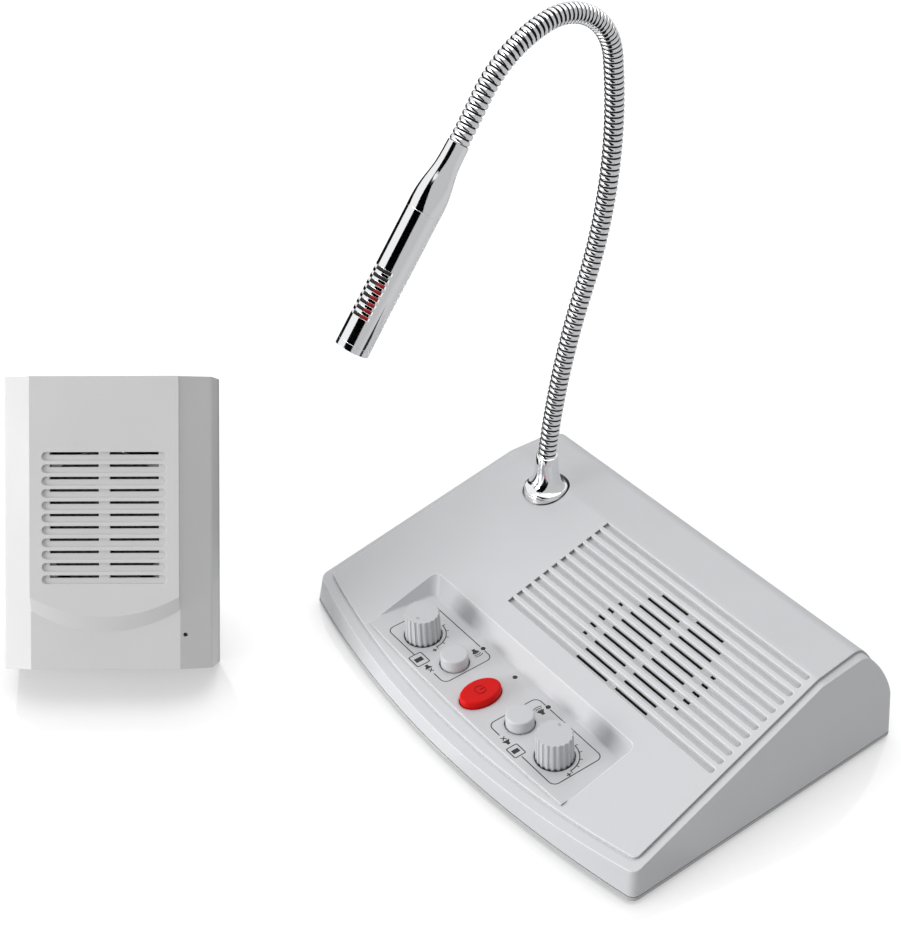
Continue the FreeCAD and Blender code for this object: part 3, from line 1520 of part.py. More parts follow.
def make_leads():
    top = BOARD_FACE + size.connector_height
    stem = size.seat_height - size.thread_reach
    mic_end = Vector(size.mic_connector_side, size.mic_connector_depth, top)
    mic_start = Vector(size.ferrule_side, size.ferrule_depth, stem)
    lead_route("microphone_lead", [
        mic_start,
        mic_start - Vector(0, 0, 7.5),
        mic_end + Vector(0, 0, 7.0),
        mic_end,
    ], LEAD_RADIUS)
    level = -size.cloth_thickness - size.gasket_thickness - size.basket_depth - size.rim_thickness
    terminal = speaker_place().multVec(Vector(-size.magnet_radius - size.terminal_thickness, 0, level))
    speaker_end = Vector(size.speaker_connector_side, size.speaker_connector_depth, top)
    lead_route("speaker_lead", [
        terminal,
        terminal + Vector(-6.0, 2.5, -3.5),
        speaker_end + Vector(0, 0, 6.0),
        speaker_end,
    ], LEAD_RADIUS)
    middle = (size.control_board_back, BOARD_TOP + size.connector_height / 2)
    start = on_floor(0, 0).multVec(Vector(size.control_connector_side, *middle))
    finish = Vector(size.link_connector_side, size.link_connector_depth - size.connector_length / 2,
                    BOARD_FACE + size.connector_height / 2)
    lead_route("board_link_lead", [
        start,
        start + Vector(0, cosine(size.floor_angle), sine(size.floor_angle)) * 12.0,
        finish - Vector(0, 12.0, 0),
        finish,
    ], LINK_RADIUS)


def unit_outline(inset, low, high):
    """Cross-section of the customer unit's front shell: flat middle, sloping side strips."""
    half = size.unit_width / 2 - inset
    panel = size.unit_panel_width / 2
    corners = [
        Vector(-half, size.unit_split, low),
        Vector(-half, size.unit_strip_depth + inset / 2, low),
        Vector(-panel, size.unit_panel_stand + inset, low),
        Vector(panel, size.unit_panel_stand + inset, low),
        Vector(half, size.unit_strip_depth + inset / 2, low),
        Vector(half, size.unit_split, low),
    ]
    turn = max(size.unit_edge_round - inset, 0)
    return prism(rounded_wire(corners, [0, turn, 0, 0, turn, 0]), Vector(0, 0, high - low))


def arch_outline(depth, side_height, middle_height, inset, top):
    """Raised panel outline in an upright plane, its lower edge an upward-opening bow."""
    half = size.unit_panel_width / 2 - inset
    left = Vector(-half, depth, side_height)
    right = Vector(half, depth, side_height)
    bow = Part.Arc(left, Vector(0, depth, middle_height), right).toShape()
    rest = Part.makePolygon([right, Vector(half, depth, top), Vector(-half, depth, top), left])
    return Part.Wire([bow] + rest.Edges)


def raised_panel(inset, front, top):
    """Raised middle of the front shell with the crescent chamfer at its lower edge."""
    foot = arch_outline(size.unit_panel_stand + inset, size.unit_chamfer_foot_side + inset,
                        size.unit_chamfer_foot_middle + inset, inset, top)
    face = arch_outline(front, size.unit_chamfer_top_side + inset, size.unit_chamfer_top_middle + inset, inset, top)
    return Part.makeLoft([foot, face], True, True)


def unit_groove(centre, height):
    """Stadium-shaped groove across the raised panel."""
    half = size.unit_groove_width / 2 - height / 2
    low = Vector(-half, -size.overrun, centre - height / 2)
    shape = block(low, Vector(half, size.unit_groove_floor, centre + height / 2))
    for side in (-half, half):
        end = bar(height / 2, 0, size.unit_groove_floor + size.overrun)
        end.Placement = Placement(Vector(side, -size.overrun, centre), Rotation(X_AXIS, -90))
        shape = shape.fuse(end)
    return shape


def unit_screw_spots():
    return [
        (side * size.unit_screw_side, height)
        for side in (-1, 1)
        for height in (size.unit_screw_low, size.unit_screw_high)
    ]


def facing_back(side, depth, height):
    """Placement with Z pointing towards the unit's back."""
    return Placement(Vector(side, depth, height), Rotation(X_AXIS, -90))


def facing_front(side, depth, height):
    """Placement with Z pointing towards the unit's front."""
    return Placement(Vector(side, depth, height), Rotation(X_AXIS, 90))


def unit_speaker_frame():
    middle = size.unit_first_groove + size.unit_groove_pitch * (size.unit_groove_count - 1) / 2
    return facing_front(0, size.unit_wall, middle)


def make_unit_front():
    wall = size.unit_wall
    shell = unit_outline(0, 0, size.unit_height).fuse(raised_panel(0, 0, size.unit_height))
    void = unit_outline(wall, wall, size.unit_height - wall)
    void = void.fuse(raised_panel(wall, wall, size.unit_height - wall))
    stays = []
    for side, height in unit_screw_spots():
        stays.append(bar(size.unit_boss_radius, 0, size.unit_split, facing_back(side, 0, height)))
    frame = unit_speaker_frame()
    for turn in clamp_places():
        spot = frame.multiply(turn).multiply(place(size.clamp_circle_radius, 0, 0))
        stays.append(bar(size.clamp_boss_radius, -clamp_level(0), size.overrun, spot))
    shell = shell.cut(void.cut(stays))
    cutters = []
    for index in range(int(size.unit_groove_count)):
        centre = size.unit_first_groove + index * size.unit_groove_pitch
        cutters.append(unit_groove(centre, size.unit_groove_height))
        top = centre + size.unit_groove_height / 2
        for side in (-size.unit_slot_side, size.unit_slot_side):
            low = Vector(side - size.unit_slot_length / 2, -size.overrun, top - size.unit_slot_height)
            cutters.append(block(low, low + Vector(size.unit_slot_length, 3 * size.overrun, size.unit_slot_height)))
    mic = facing_back(size.unit_mic_side, 0, size.unit_mic_height)
    cutters.append(bar(size.unit_mic_hole_radius, 0, size.unit_split / 2, mic))
    for side, height in unit_screw_spots():
        start = size.unit_split - size.unit_screw_length + size.overrun
        cutters.append(bar(size.case_screw_radius, start, size.unit_depth, facing_back(side, 0, height)))
    for turn in clamp_places():
        spot = frame.multiply(turn).multiply(place(size.clamp_circle_radius, 0, -clamp_level(0)))
        cutters.append(bar(size.board_screw_radius, -size.overrun, size.board_screw_length - size.overrun, spot))
    solid("unit_front", shell.cut(cutters), UNIT_PLACE)


def unit_cover():
    """Outside of the customer unit's back cover."""
    half = size.unit_width / 2
    cover = block(Vector(-half, size.unit_split, 0), Vector(half, size.unit_depth, size.unit_height))
    back_edges = [edge for edge in upright_edges(cover, size.unit_height / 2) if edge.BoundBox.YMin > size.unit_split]
    return cover.makeFillet(size.unit_edge_round, back_edges)


def make_unit_back():
    """Back cover with screw wells, wall-fixing holes and the socket hole."""
    half = size.unit_width / 2
    cover = unit_cover()
    wall = size.unit_wall
    void = block(Vector(wall - half, size.unit_split, wall),
                 Vector(half - wall, size.unit_depth - wall, size.unit_height - wall))
    middle = size.unit_height / 2
    stays = [bar(size.unit_boss_radius, 0, size.unit_depth, facing_back(side, 0, height))
             for side, height in unit_screw_spots()]
    for side, height in unit_board_posts():
        stays.append(bar(size.clamp_boss_radius, 0, size.unit_depth, facing_back(side, 0, height)))
    cover = cover.cut(void.cut(stays))
    posts = []
    face = size.unit_board_front + size.board_thickness
    for side, height in unit_board_posts():
        posts.append(bar(size.clamp_boss_radius, face, size.unit_depth - wall, facing_back(side, 0, height)))
    cover = cover.fuse(posts)
    cutters = []
    for side, height in unit_screw_spots():
        spot = facing_back(side, 0, height)
        cutters.append(bar(size.case_screw_radius + size.screw_gap, 0, size.unit_depth + size.overrun, spot))
        well = size.unit_depth - size.screw_head_height
        cutters.append(bar(size.screw_head_radius + size.screw_gap, well, size.unit_depth + size.overrun, spot))
    for side in (-1, 1):
        height = middle + side * size.wall_hole_circle / 2
        spot = facing_back(0, 0, height)
        cutters.append(bar(size.wall_hole_radius, size.unit_split, size.unit_depth + size.overrun, spot))
    for height in (size.strip_screw_low, size.strip_screw_high):
        spot = facing_back(0, 0, height)
        cutters.append(bar(size.board_screw_radius + size.screw_gap, size.unit_split, size.unit_depth + size.overrun, spot))
    socket = facing_back(size.unit_socket_side, 0, unit_socket_height())
    cutters.append(bar(size.jack_nose_radius + size.nose_gap, size.unit_split, size.unit_depth + size.overrun, socket))
    for side, height in unit_board_posts():
        low = face - size.overrun
        spot = facing_back(side, 0, height)
        cutters.append(bar(size.board_screw_radius, low, face + size.board_screw_length, spot))
    solid("unit_back", cover.cut(cutters), UNIT_PLACE)


def unit_board_posts():
    inset = size.board_post_inset
    right = size.unit_board_left + size.unit_board_width
    top = size.unit_board_low + size.unit_board_height
    return [
        (side, height)
        for side in (size.unit_board_left + inset, right - inset)
        for height in (size.unit_board_low + inset, top - inset)
    ]


def unit_socket_height():
    return size.unit_board_low + size.unit_board_height / 2


def make_unit_inside():
    """Board, socket, microphone in its boot and the unit's screws."""
    right = "unit_board_left + unit_board_width"
    top = "unit_board_low + unit_board_height"
    outline = [
        ("unit_board_left", "unit_board_low"),
        (right, "unit_board_low"),
        (right, top),
        ("unit_board_left", top),
    ]
    back_face = size.unit_board_front + size.board_thickness
    upright = UNIT_PLACE.multiply(facing_front(0, back_face, 0))
    board = plate_part("unit_board", outline, "board_thickness", upright)
    spots = []
    for side in ("unit_board_left + board_post_inset", right + " - board_post_inset"):
        for height in ("unit_board_low + board_post_inset", top + " - board_post_inset"):
            spots.append((side, height))
    drill_plate(board, "unit_board", spots, "board_screw_radius + screw_gap")
    screws = []
    for side, height in unit_board_posts():
        spot = facing_back(side, size.unit_board_front - size.board_screw_head_height, height)
        head = (size.board_screw_head_radius, size.board_screw_head_height)
        length = size.board_thickness + size.board_screw_length - size.screw_gap
        screws.append(screw(*head, size.board_screw_radius, length, UNIT_PLACE.multiply(spot)))
    for side, height in unit_screw_spots():
        spot = facing_front(side, size.unit_depth, height)
        head = (size.screw_head_radius, size.screw_head_height)
        length = size.unit_depth - size.screw_head_height - size.unit_split
        length += size.unit_screw_length - size.overrun - size.screw_gap
        screws.append(screw(*head, size.case_screw_radius, length, UNIT_PLACE.multiply(spot)))
    inside = size.unit_depth - size.unit_wall - size.board_screw_head_height
    for height in (size.strip_screw_low, size.strip_screw_high):
        head = (size.board_screw_head_radius, size.board_screw_head_height)
        length = size.unit_wall + size.strip_thickness
        screws.append(screw(*head, size.board_screw_radius, length, UNIT_PLACE.multiply(facing_back(0, inside, height))))
    low = Vector(size.unit_socket_side - size.jack_width / 2, back_face, unit_socket_height() - size.jack_height / 2)
    body_back = size.unit_depth - size.unit_wall - size.socket_setback
    jack = block(low, Vector(low.x + size.jack_width, body_back, low.z + size.jack_height))
    axis = facing_front(size.unit_socket_side, size.unit_depth - size.nose_sink, unit_socket_height())
    jack = jack.fuse(bar(size.jack_nose_radius, 0, size.unit_depth - size.nose_sink - body_back, axis))
    jack = jack.cut(bar(size.jack_bore_radius, -size.overrun, size.jack_bore_length, axis))
    solid("unit_socket", jack, UNIT_PLACE)
    start = unit_strip_back(size.unit_mic_side)
    boot_end = start + size.unit_boot_length
    hole = "unit_capsule_radius"
    ring_part("unit_mic_boot", "unit_boot_radius", hole, "unit_boot_length",
              UNIT_PLACE.multiply(facing_front(size.unit_mic_side, boot_end, size.unit_mic_height)))
    cylinder_part("unit_mic_capsule", hole, "capsule_length",
                  UNIT_PLACE.multiply(facing_front(size.unit_mic_side, boot_end, size.unit_mic_height)))
    return screws


def unit_strip_back(side):
    """Depth of the hollow's front face behind the sloping strip, at the far edge of the boot."""
    half = size.unit_width / 2 - size.unit_wall
    panel = size.unit_panel_width / 2
    near = size.unit_panel_stand + size.unit_wall
    far = size.unit_strip_depth + size.unit_wall / 2
    return near + (far - near) * (side + size.unit_boot_radius - panel) / (half - panel)


def strip_frame():
    """Upright placement at the middle of the edge that the leaning unit rests on."""
    return Placement(UNIT_PLACE.multVec(Vector(0, size.unit_depth, 0)), Rotation(Z_AXIS, size.unit_turn_angle))


def make_unit_strip():
    """Bent strip behind the unit: a plate on its back, an upright leg and a foot flat on the counter."""
    along = Vector(0, sine(size.unit_lean_angle), cosine(size.unit_lean_angle))
    away = Vector(0, cosine(size.unit_lean_angle), -sine(size.unit_lean_angle))
    thick = size.strip_thickness
    low = along * size.strip_low
    high = along * size.strip_high
    back = high.y + 2 * thick
    crotch = low + away * thick
    crotch += along * ((back - thick - crotch.y) / along.y)
    end = back + size.strip_foot_length
    corners = [
        (low, 0),
        (high, 0),
        (Vector(0, back, high.z), size.strip_bend),
        (Vector(0, back, thick), size.strip_bend),
        (Vector(0, end, thick), 0),
        (Vector(0, end, 0), 0),
        (Vector(0, back - thick, 0), size.strip_bend + thick),
        (crotch, 0),
        (low + away * thick, 0),
    ]
    half = Vector(size.strip_width / 2, 0, 0)
    strip = prism(rounded_wire([point - half for point, _ in corners], [turn for _, turn in corners]), half * 2)
    leaning = strip_frame().inverse().multiply(UNIT_PLACE)
    for height in (size.strip_screw_low, size.strip_screw_high):
        spot = leaning.multiply(facing_back(0, size.unit_depth, height))
        strip = strip.cut(bar(size.board_screw_radius, -size.overrun, thick + size.overrun, spot))
    solid("unit_stand", strip, strip_frame())


def set_offset():
    """Shift that brings the origin under the middle of the whole set's footprint."""
    shell = unit_outline(0, 0, size.unit_height)
    shell.Placement = UNIT_PLACE
    front = shell.optimalBoundingBox(False, False)
    cover = unit_cover()
    cover.Placement = UNIT_PLACE
    back = cover.optimalBoundingBox(False, False)
    left = min(front.XMin, back.XMin)
    near = min(front.YMin, back.YMin)
    return Vector(-(left + size.case_width / 2) / 2, -(near + size.case_depth) / 2, 0)


def check_and_write():
    """Recomputes, checks every object and sub-part, and writes each sub-part's shape."""
    doc.recompute()
    for thing in doc.Objects:
        if "Invalid" in thing.State or "Error" in thing.State:
            raise RuntimeError("%s failed: %s" % (thing.Label, thing.State))
    for thing in kept:
        if thing.Shape.isNull() or not thing.Shape.isValid() or not thing.Shape.Solids:
            raise RuntimeError("bad shape in %s" % thing.Label)
    for thing in kept:
        box = thing.Shape.BoundBox
        corners = (box.XMin, box.XMax, box.YMin, box.YMax, box.ZMin, box.ZMax)
        print("%-22s solids %d box" % (thing.Label, len(thing.Shape.Solids)), [round(value, 1) for value in corners])
        thing.Shape.exportStep("parts/%s.step" % thing.Label)
    print("parts", len(kept), "origin shift", SET_PLACE.Base)


SET_PLACE = Placement(set_offset(), Rotation())

make_top_case()
make_bottom_tray()
make_feet_and_screws()
board_screws = make_control_board()
make_volume_controls()
make_knob("left_knob", -size.knob_side, size.left_mark_angle, size.left_mark_radius)
make_knob("right_knob", size.knob_side, size.right_mark_angle, size.right_mark_radius)
make_button("left_button", -size.button_side)
make_button("right_button", size.button_side)
make_power_button()
make_switches()
make_leds()
board_screws += make_main_board()
make_board_pieces()
make_connectors()
make_rear_sockets()
board_screws += make_speaker("", speaker_place(), size.gasket_thickness)
group("board_screws", board_screws)
make_ferrule()
make_mic(make_neck())
make_leads()
make_unit_front()
make_unit_back()
unit_screws = make_unit_inside()
unit_screws += make_speaker("unit_", UNIT_PLACE.multiply(unit_speaker_frame()), 0)
group("unit_screws", unit_screws)
make_unit_strip()
check_and_write()
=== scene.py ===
import bpy
import math
from mathutils import Matrix, Vector


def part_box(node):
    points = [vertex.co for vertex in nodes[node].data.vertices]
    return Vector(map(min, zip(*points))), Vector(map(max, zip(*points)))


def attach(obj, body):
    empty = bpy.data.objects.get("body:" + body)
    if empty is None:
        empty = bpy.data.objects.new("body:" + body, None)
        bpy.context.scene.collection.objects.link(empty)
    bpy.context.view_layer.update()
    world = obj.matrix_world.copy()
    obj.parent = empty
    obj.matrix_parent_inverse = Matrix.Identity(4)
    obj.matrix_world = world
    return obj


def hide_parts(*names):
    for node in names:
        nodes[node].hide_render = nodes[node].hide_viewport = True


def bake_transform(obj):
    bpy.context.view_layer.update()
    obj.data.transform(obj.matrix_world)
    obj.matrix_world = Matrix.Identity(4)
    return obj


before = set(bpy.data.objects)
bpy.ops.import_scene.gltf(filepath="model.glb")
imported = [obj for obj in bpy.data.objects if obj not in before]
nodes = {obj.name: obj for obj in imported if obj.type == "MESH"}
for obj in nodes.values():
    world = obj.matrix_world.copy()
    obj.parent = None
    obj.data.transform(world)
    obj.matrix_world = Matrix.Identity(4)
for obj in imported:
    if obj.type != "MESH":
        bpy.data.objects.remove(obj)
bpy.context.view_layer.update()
MM = 0.001

# Console frame, as in the part's source: X to the teller's right, Y away from the teller,
# origin midway between the console's front corners. Lengths below are in millimetres.
CASE_DEPTH = 146.3
case_low, case_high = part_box("top_case")
ORIGIN = Vector(((case_low.x + case_high.x) / 2, case_high.y - CASE_DEPTH * MM, 0))
# Control recess's floor: height at the front corners and slope; then the plane of the gooseneck
RECESS_HEIGHT, RECESS_SLOPE = 17.13, math.radians(2.54)
NECK_X = -67.5


def at(x, y, z):
    """A point of the console frame in the row frame, in metres."""
    return ORIGIN + Vector((x, y, z)) * MM


def on_floor(x, y, lift=0.0):
    """A point above the control recess's floor."""
    normal = Vector((0, -math.sin(RECESS_SLOPE), math.cos(RECESS_SLOPE)))
    return at(x, y, RECESS_HEIGHT + y * math.tan(RECESS_SLOPE)) + normal * lift * MM


# Materials

def new_material(name):
    material = bpy.data.materials.new(name)
    material.use_nodes = True
    tree = material.node_tree
    return material, tree, tree.nodes["Principled BSDF"]


def link(tree, start, end):
    tree.links.new(start, end)


def node(tree, kind, **values):
    """Adds a node; each keyword sets the input of that name, or else the node's property."""
    made = tree.nodes.new(kind)
    for key, value in values.items():
        if key in made.inputs:
            made.inputs[key].default_value = value
        else:
            setattr(made, key.lower(), value)
    return made


def noise(tree, scale, detail=2.0, rough=0.5):
    """Noise over the object's own coordinates, scale in turns per metre."""
    coords = node(tree, "ShaderNodeTexCoord")
    made = node(tree, "ShaderNodeTexNoise", Scale=scale, Detail=detail, Roughness=rough)
    link(tree, coords.outputs["Object"], made.inputs["Vector"])
    return made


def spread(tree, source, low, high, start=0.35, end=0.65):
    """Maps a noise value to a range."""
    made = node(tree, "ShaderNodeMapRange")
    made.inputs["From Min"].default_value = start
    made.inputs["From Max"].default_value = end
    made.inputs["To Min"].default_value = low
    made.inputs["To Max"].default_value = high
    link(tree, source, made.inputs["Value"])
    return made.outputs["Result"]


def shade(tree, source, dark, light, start=0.3, end=0.7):
    """Colour between two tones by a noise value."""
    made = node(tree, "ShaderNodeValToRGB")
    made.color_ramp.elements[0].position = start
    made.color_ramp.elements[1].position = end
    made.color_ramp.elements[0].color = (*dark, 1)
    made.color_ramp.elements[1].color = (*light, 1)
    link(tree, source, made.inputs["Fac"])
    return made.outputs["Color"]


# Share of the fine grain in a finish's colour, the rest being the large clouds
FINE_SHARE = 0.35
# Cosine between face and rounded edge, from full painted highlight to none, and openness of a hollow, from
# full painted shade to none
HIGHLIGHT_COSINES, SHUT_IN = (0.93, 0.998), (0.4, 0.8)
# Tones of the painted edge highlight and of the painted shade in hollows
EDGE_BRIGHT, PAINTED_SHADE_TONE = (0.95, 0.95, 0.96), (0.03, 0.03, 0.033)


def tone(colour, factor):
    """The colour made darker or lighter."""
    return tuple(min(channel * factor, 1) for channel in colour)


def finish(name, colour, rough, metal=0.0, vary=0.04, grain=1800, bump=0.1, bump_depth=0.02,
           edge=0.0, rough_vary=0.06, large=25, glint=0.0, gloss=0.5, painted_shade=0.0, hollow=1.0):
    """Procedural finish: two-scale colour, uneven roughness and fine grain.

    edge rounds the shading of edges by so many mm, glint paints a bright highlight on them, and
    painted_shade paints shade into hollows that are about as narrow as hollow, in mm.
    """
    material, tree, shader = new_material(name)
    cloud = noise(tree, large, 3)
    fine = noise(tree, grain, 3, 0.6)
    mix = node(tree, "ShaderNodeMath", operation="MULTIPLY_ADD")
    link(tree, fine.outputs["Fac"], mix.inputs[0])
    mix.inputs[1].default_value = FINE_SHARE
    half = node(tree, "ShaderNodeMath", operation="MULTIPLY")
    link(tree, cloud.outputs["Fac"], half.inputs[0])
    half.inputs[1].default_value = 1 - FINE_SHARE
    link(tree, half.outputs[0], mix.inputs[2])
    paint = shade(tree, mix.outputs[0], tone(colour, 1 - vary), tone(colour, 1 + vary))
    uneven = spread(tree, cloud.outputs["Fac"], rough - rough_vary, rough + rough_vary)
    link(tree, uneven, shader.inputs["Roughness"])
    shader.inputs["Metallic"].default_value = metal
    shader.inputs["Specular IOR Level"].default_value = gloss
    relief = node(tree, "ShaderNodeBump", Strength=bump, Distance=bump_depth * MM)
    link(tree, fine.outputs["Fac"], relief.inputs["Height"])
    if edge:
        round_edge = node(tree, "ShaderNodeBevel", Radius=edge * MM)
        round_edge.samples = 6
        link(tree, round_edge.outputs["Normal"], relief.inputs["Normal"])
    # Painted highlight: edges are lightened towards a near-white tone by how far the rounded normal turns
    # from the face
    if edge and glint:
        face = node(tree, "ShaderNodeNewGeometry")
        same = node(tree, "ShaderNodeVectorMath", operation="DOT_PRODUCT")
        link(tree, face.outputs["Normal"], same.inputs[0])
        link(tree, round_edge.outputs["Normal"], same.inputs[1])
        edge_highlight = spread(tree, same.outputs["Value"], glint, 0.0, *HIGHLIGHT_COSINES)
        bright = node(tree, "ShaderNodeMixRGB")
        link(tree, edge_highlight, bright.inputs["Fac"])
        link(tree, paint, bright.inputs["Color1"])
        bright.inputs["Color2"].default_value = (*EDGE_BRIGHT, 1)
        paint = bright.outputs["Color"]
    # Painted shade: narrow hollows are darkened towards near-black by occlusion
    if painted_shade:
        shut_in = node(tree, "ShaderNodeAmbientOcclusion", Distance=hollow * MM)
        shut_in.samples = 6
        hollow_shade = node(tree, "ShaderNodeMixRGB", Color2=(*PAINTED_SHADE_TONE, 1))
        link(tree, spread(tree, shut_in.outputs["AO"], painted_shade, 0.0, *SHUT_IN), hollow_shade.inputs["Fac"])
        link(tree, paint, hollow_shade.inputs["Color1"])
        paint = hollow_shade.outputs["Color"]
    link(tree, paint, shader.inputs["Base Color"])
    link(tree, relief.outputs["Normal"], shader.inputs["Normal"])
    return material


SILVER = (0.585, 0.59, 0.61)
# The case and the customer unit get a painted edge highlight, and the case and the knobs get painted shade
# in their hollows
case_paint = finish("case_silver_paint", SILVER, 0.42, vary=0.025, grain=2600, bump=0.12, bump_depth=0.012,
                    edge=0.7, glint=0.8, painted_shade=0.85, hollow=2.0)
knob_paint = finish("knob_silver_paint", (0.56, 0.565, 0.585), 0.4, vary=0.03, grain=2600, bump=0.1,
                    edge=0.2, painted_shade=0.9, hollow=1.6)
button_paint = finish("button_silver_paint", SILVER, 0.36, vary=0.025, grain=2600, bump=0.1, edge=0.15)
unit_paint = finish("unit_silver_paint", (0.575, 0.575, 0.575), 0.55, vary=0.02, grain=2400, bump=0.12,
                    bump_depth=0.012, edge=0.4, glint=0.3)
tray_plastic = finish("tray_grey_plastic", (0.46, 0.46, 0.47), 0.55, vary=0.04, grain=1500, bump=0.25,
                      edge=0.25)
back_plastic = finish("unit_back_plastic", (0.5, 0.5, 0.5), 0.55, vary=0.04, grain=1500, bump=0.25, edge=0.3)
foot_rubber = finish("foot_rubber", (0.035, 0.035, 0.036), 0.85, vary=0.15, grain=900, bump=0.4,
                     bump_depth=0.05)
power_red = finish("power_red_plastic", (0.66, 0.004, 0.003), 0.5, gloss=0.15, vary=0.05, grain=2000,
                   bump=0.05, edge=0.3)
symbol_red = finish("symbol_dark_red", (0.2, 0.003, 0.004), 0.6, vary=0.08, grain=2000, bump=0.05)


# A point of the microphone's lining, as Y and Z, and the two directions along which its red part begins,
# towards the slots' right ends and down the barrel: each with the distances where the painted shade starts
# to end and where the red is full
LINING_CENTRE = (11.3, 175.5)
RED_FROM = (((0.737, 0.552, -0.391), -2.9, -2.3), ((0, -0.578, -0.816), -5.1, -4.5))


def lining_material():
    """Red felt, painted near-black as shade over the slots' far side and the two slots next to the neck."""
    material, tree, shader = new_material("lining_red_felt")
    weave = noise(tree, 2600, 2)
    coords = node(tree, "ShaderNodeTexCoord")
    centre = at(NECK_X, *LINING_CENTRE)
    away = node(tree, "ShaderNodeVectorMath", operation="SUBTRACT")
    away.inputs[1].default_value = (centre.x, centre.y, centre.z)
    link(tree, coords.outputs["Object"], away.inputs[0])
    shares = []
    for direction, low, high in RED_FROM:
        along = node(tree, "ShaderNodeVectorMath", operation="DOT_PRODUCT")
        link(tree, away.outputs[0], along.inputs[0])
        along.inputs[1].default_value = direction
        shares.append(spread(tree, along.outputs["Value"], 0.0, 1.0, low * MM, high * MM))
    red = node(tree, "ShaderNodeMath", operation="MULTIPLY")
    link(tree, shares[0], red.inputs[0])
    link(tree, shares[1], red.inputs[1])
    mix = node(tree, "ShaderNodeMixRGB")
    link(tree, red.outputs[0], mix.inputs["Fac"])
    # Painted shade: the lining is near-black where the slots' inside lies away from the light
    lining_shade = shade(tree, weave.outputs["Fac"], (0.008, 0.008, 0.008), (0.035, 0.033, 0.03))
    felt = shade(tree, weave.outputs["Fac"], (0.3, 0.008, 0.008), (0.42, 0.015, 0.012))
    link(tree, lining_shade, mix.inputs["Color1"])
    link(tree, felt, mix.inputs["Color2"])
    link(tree, mix.outputs["Color"], shader.inputs["Base Color"])
    link(tree, spread(tree, weave.outputs["Fac"], 0.8, 0.95), shader.inputs["Roughness"])
    relief = node(tree, "ShaderNodeBump", Strength=0.5, Distance=0.05 * MM)
    link(tree, weave.outputs["Fac"], relief.inputs["Height"])
    link(tree, relief.outputs["Normal"], shader.inputs["Normal"])
    return material


lining_red = lining_material()
ink_black = finish("printed_ink", (0.012, 0.012, 0.013), 0.55, vary=0.2, grain=3000, bump=0.1)
led_dark = finish("lamp_dark_lens", (0.008, 0.008, 0.008), 0.5, vary=0.2, grain=2000, bump=0.02)
chrome = finish("chrome_plate", (0.86, 0.865, 0.88), 0.07, metal=1.0, vary=0.02, grain=900, bump=0.02,
                bump_depth=0.004, rough_vary=0.02, edge=0.2)
neck_chrome = finish("neck_chrome", (0.84, 0.845, 0.86), 0.08, metal=1.0, vary=0.04, grain=700, bump=0.03,
                     bump_depth=0.006, rough_vary=0.03)
# Near-black painted shade for the deep part of the neck's grooves
painted_groove_shade = finish("neck_groove_shade", (0.012, 0.012, 0.013), 0.6, metal=0.2, vary=0.3, grain=900, bump=0.1)
cloth_black = finish("cloth_black_weave", (0.012, 0.012, 0.012), 0.9, vary=0.3, grain=3000, bump=0.6,
                     bump_depth=0.08)
cone_paper = finish("cone_paper", (0.02, 0.02, 0.021), 0.8, vary=0.25, grain=1200, bump=0.4, bump_depth=0.05)
steel = finish("pressed_steel", (0.48, 0.48, 0.48), 0.38, metal=1.0, vary=0.08, grain=1200, bump=0.15)
zinc = finish("zinc_screw", (0.62, 0.62, 0.6), 0.32, metal=1.0, vary=0.1, grain=1500, bump=0.1)
ferrite = finish("ferrite", (0.05, 0.05, 0.052), 0.75, vary=0.2, grain=700, bump=0.4)
board_green = finish("board_green", (0.02, 0.16, 0.06), 0.4, vary=0.25, grain=900, bump=0.1, large=160)
black_plastic = finish("black_plastic", (0.02, 0.02, 0.02), 0.45, vary=0.2, grain=1500, bump=0.2, edge=0.15)
shaft_metal = finish("turned_aluminium", (0.7, 0.7, 0.7), 0.3, metal=1.0, vary=0.06, grain=2500, bump=0.15)
can_sleeve = finish("capacitor_sleeve", (0.05, 0.05, 0.12), 0.4, vary=0.1, grain=900, bump=0.05)
sink_metal = finish("sink_aluminium", (0.5, 0.5, 0.5), 0.4, metal=1.0, vary=0.08, grain=1500, bump=0.2)
nylon = finish("connector_nylon", (0.75, 0.73, 0.64), 0.5, vary=0.05, grain=1200, bump=0.1)
wire_black = finish("wire_black", (0.025, 0.025, 0.025), 0.55, vary=0.2, grain=800, bump=0.1)

LOOKS = {
    case_paint: ["top_case"],
    unit_paint: ["unit_front"],
    tray_plastic: ["bottom_tray"],
    back_plastic: ["unit_back"],
    foot_rubber: ["rubber_feet", "unit_mic_boot", "speaker_gasket"],
    knob_paint: ["left_knob", "right_knob"],
    button_paint: ["left_button", "right_button"],
    power_red: ["power_button"],
    led_dark: ["indicator_leds"],
    chrome: ["ferrule", "mic_cone", "mic_barrel", "mic_end_ring"],
    neck_chrome: ["neck_lower", "neck_middle", "neck_arch", "neck_tip"],
    lining_red: ["mic_lining"],
    cloth_black: ["speaker_cloth", "unit_speaker_cloth", "mic_screen"],
    cone_paper: ["speaker_cone", "unit_speaker_cone"],
    steel: ["speaker_basket", "unit_speaker_basket", "speaker_clamps", "unit_speaker_clamps", "unit_stand"],
    zinc: ["case_screws", "board_screws", "unit_screws", "ferrule_fixings"],
    ferrite: ["speaker_magnet", "unit_speaker_magnet"],
    board_green: ["control_board", "main_board", "unit_board"],
    black_plastic: ["volume_pots", "push_switches", "left_plunger", "right_plunger", "power_plunger",
                    "amplifier_chip", "power_socket", "jack_sockets", "unit_socket"],
    shaft_metal: ["left_pot_shaft", "right_pot_shaft", "mic_capsule", "unit_mic_capsule"],
    can_sleeve: ["capacitors"],
    sink_metal: ["heat_sink"],
    nylon: ["board_connectors"],
    wire_black: ["microphone_lead", "speaker_lead", "board_link_lead"],
}
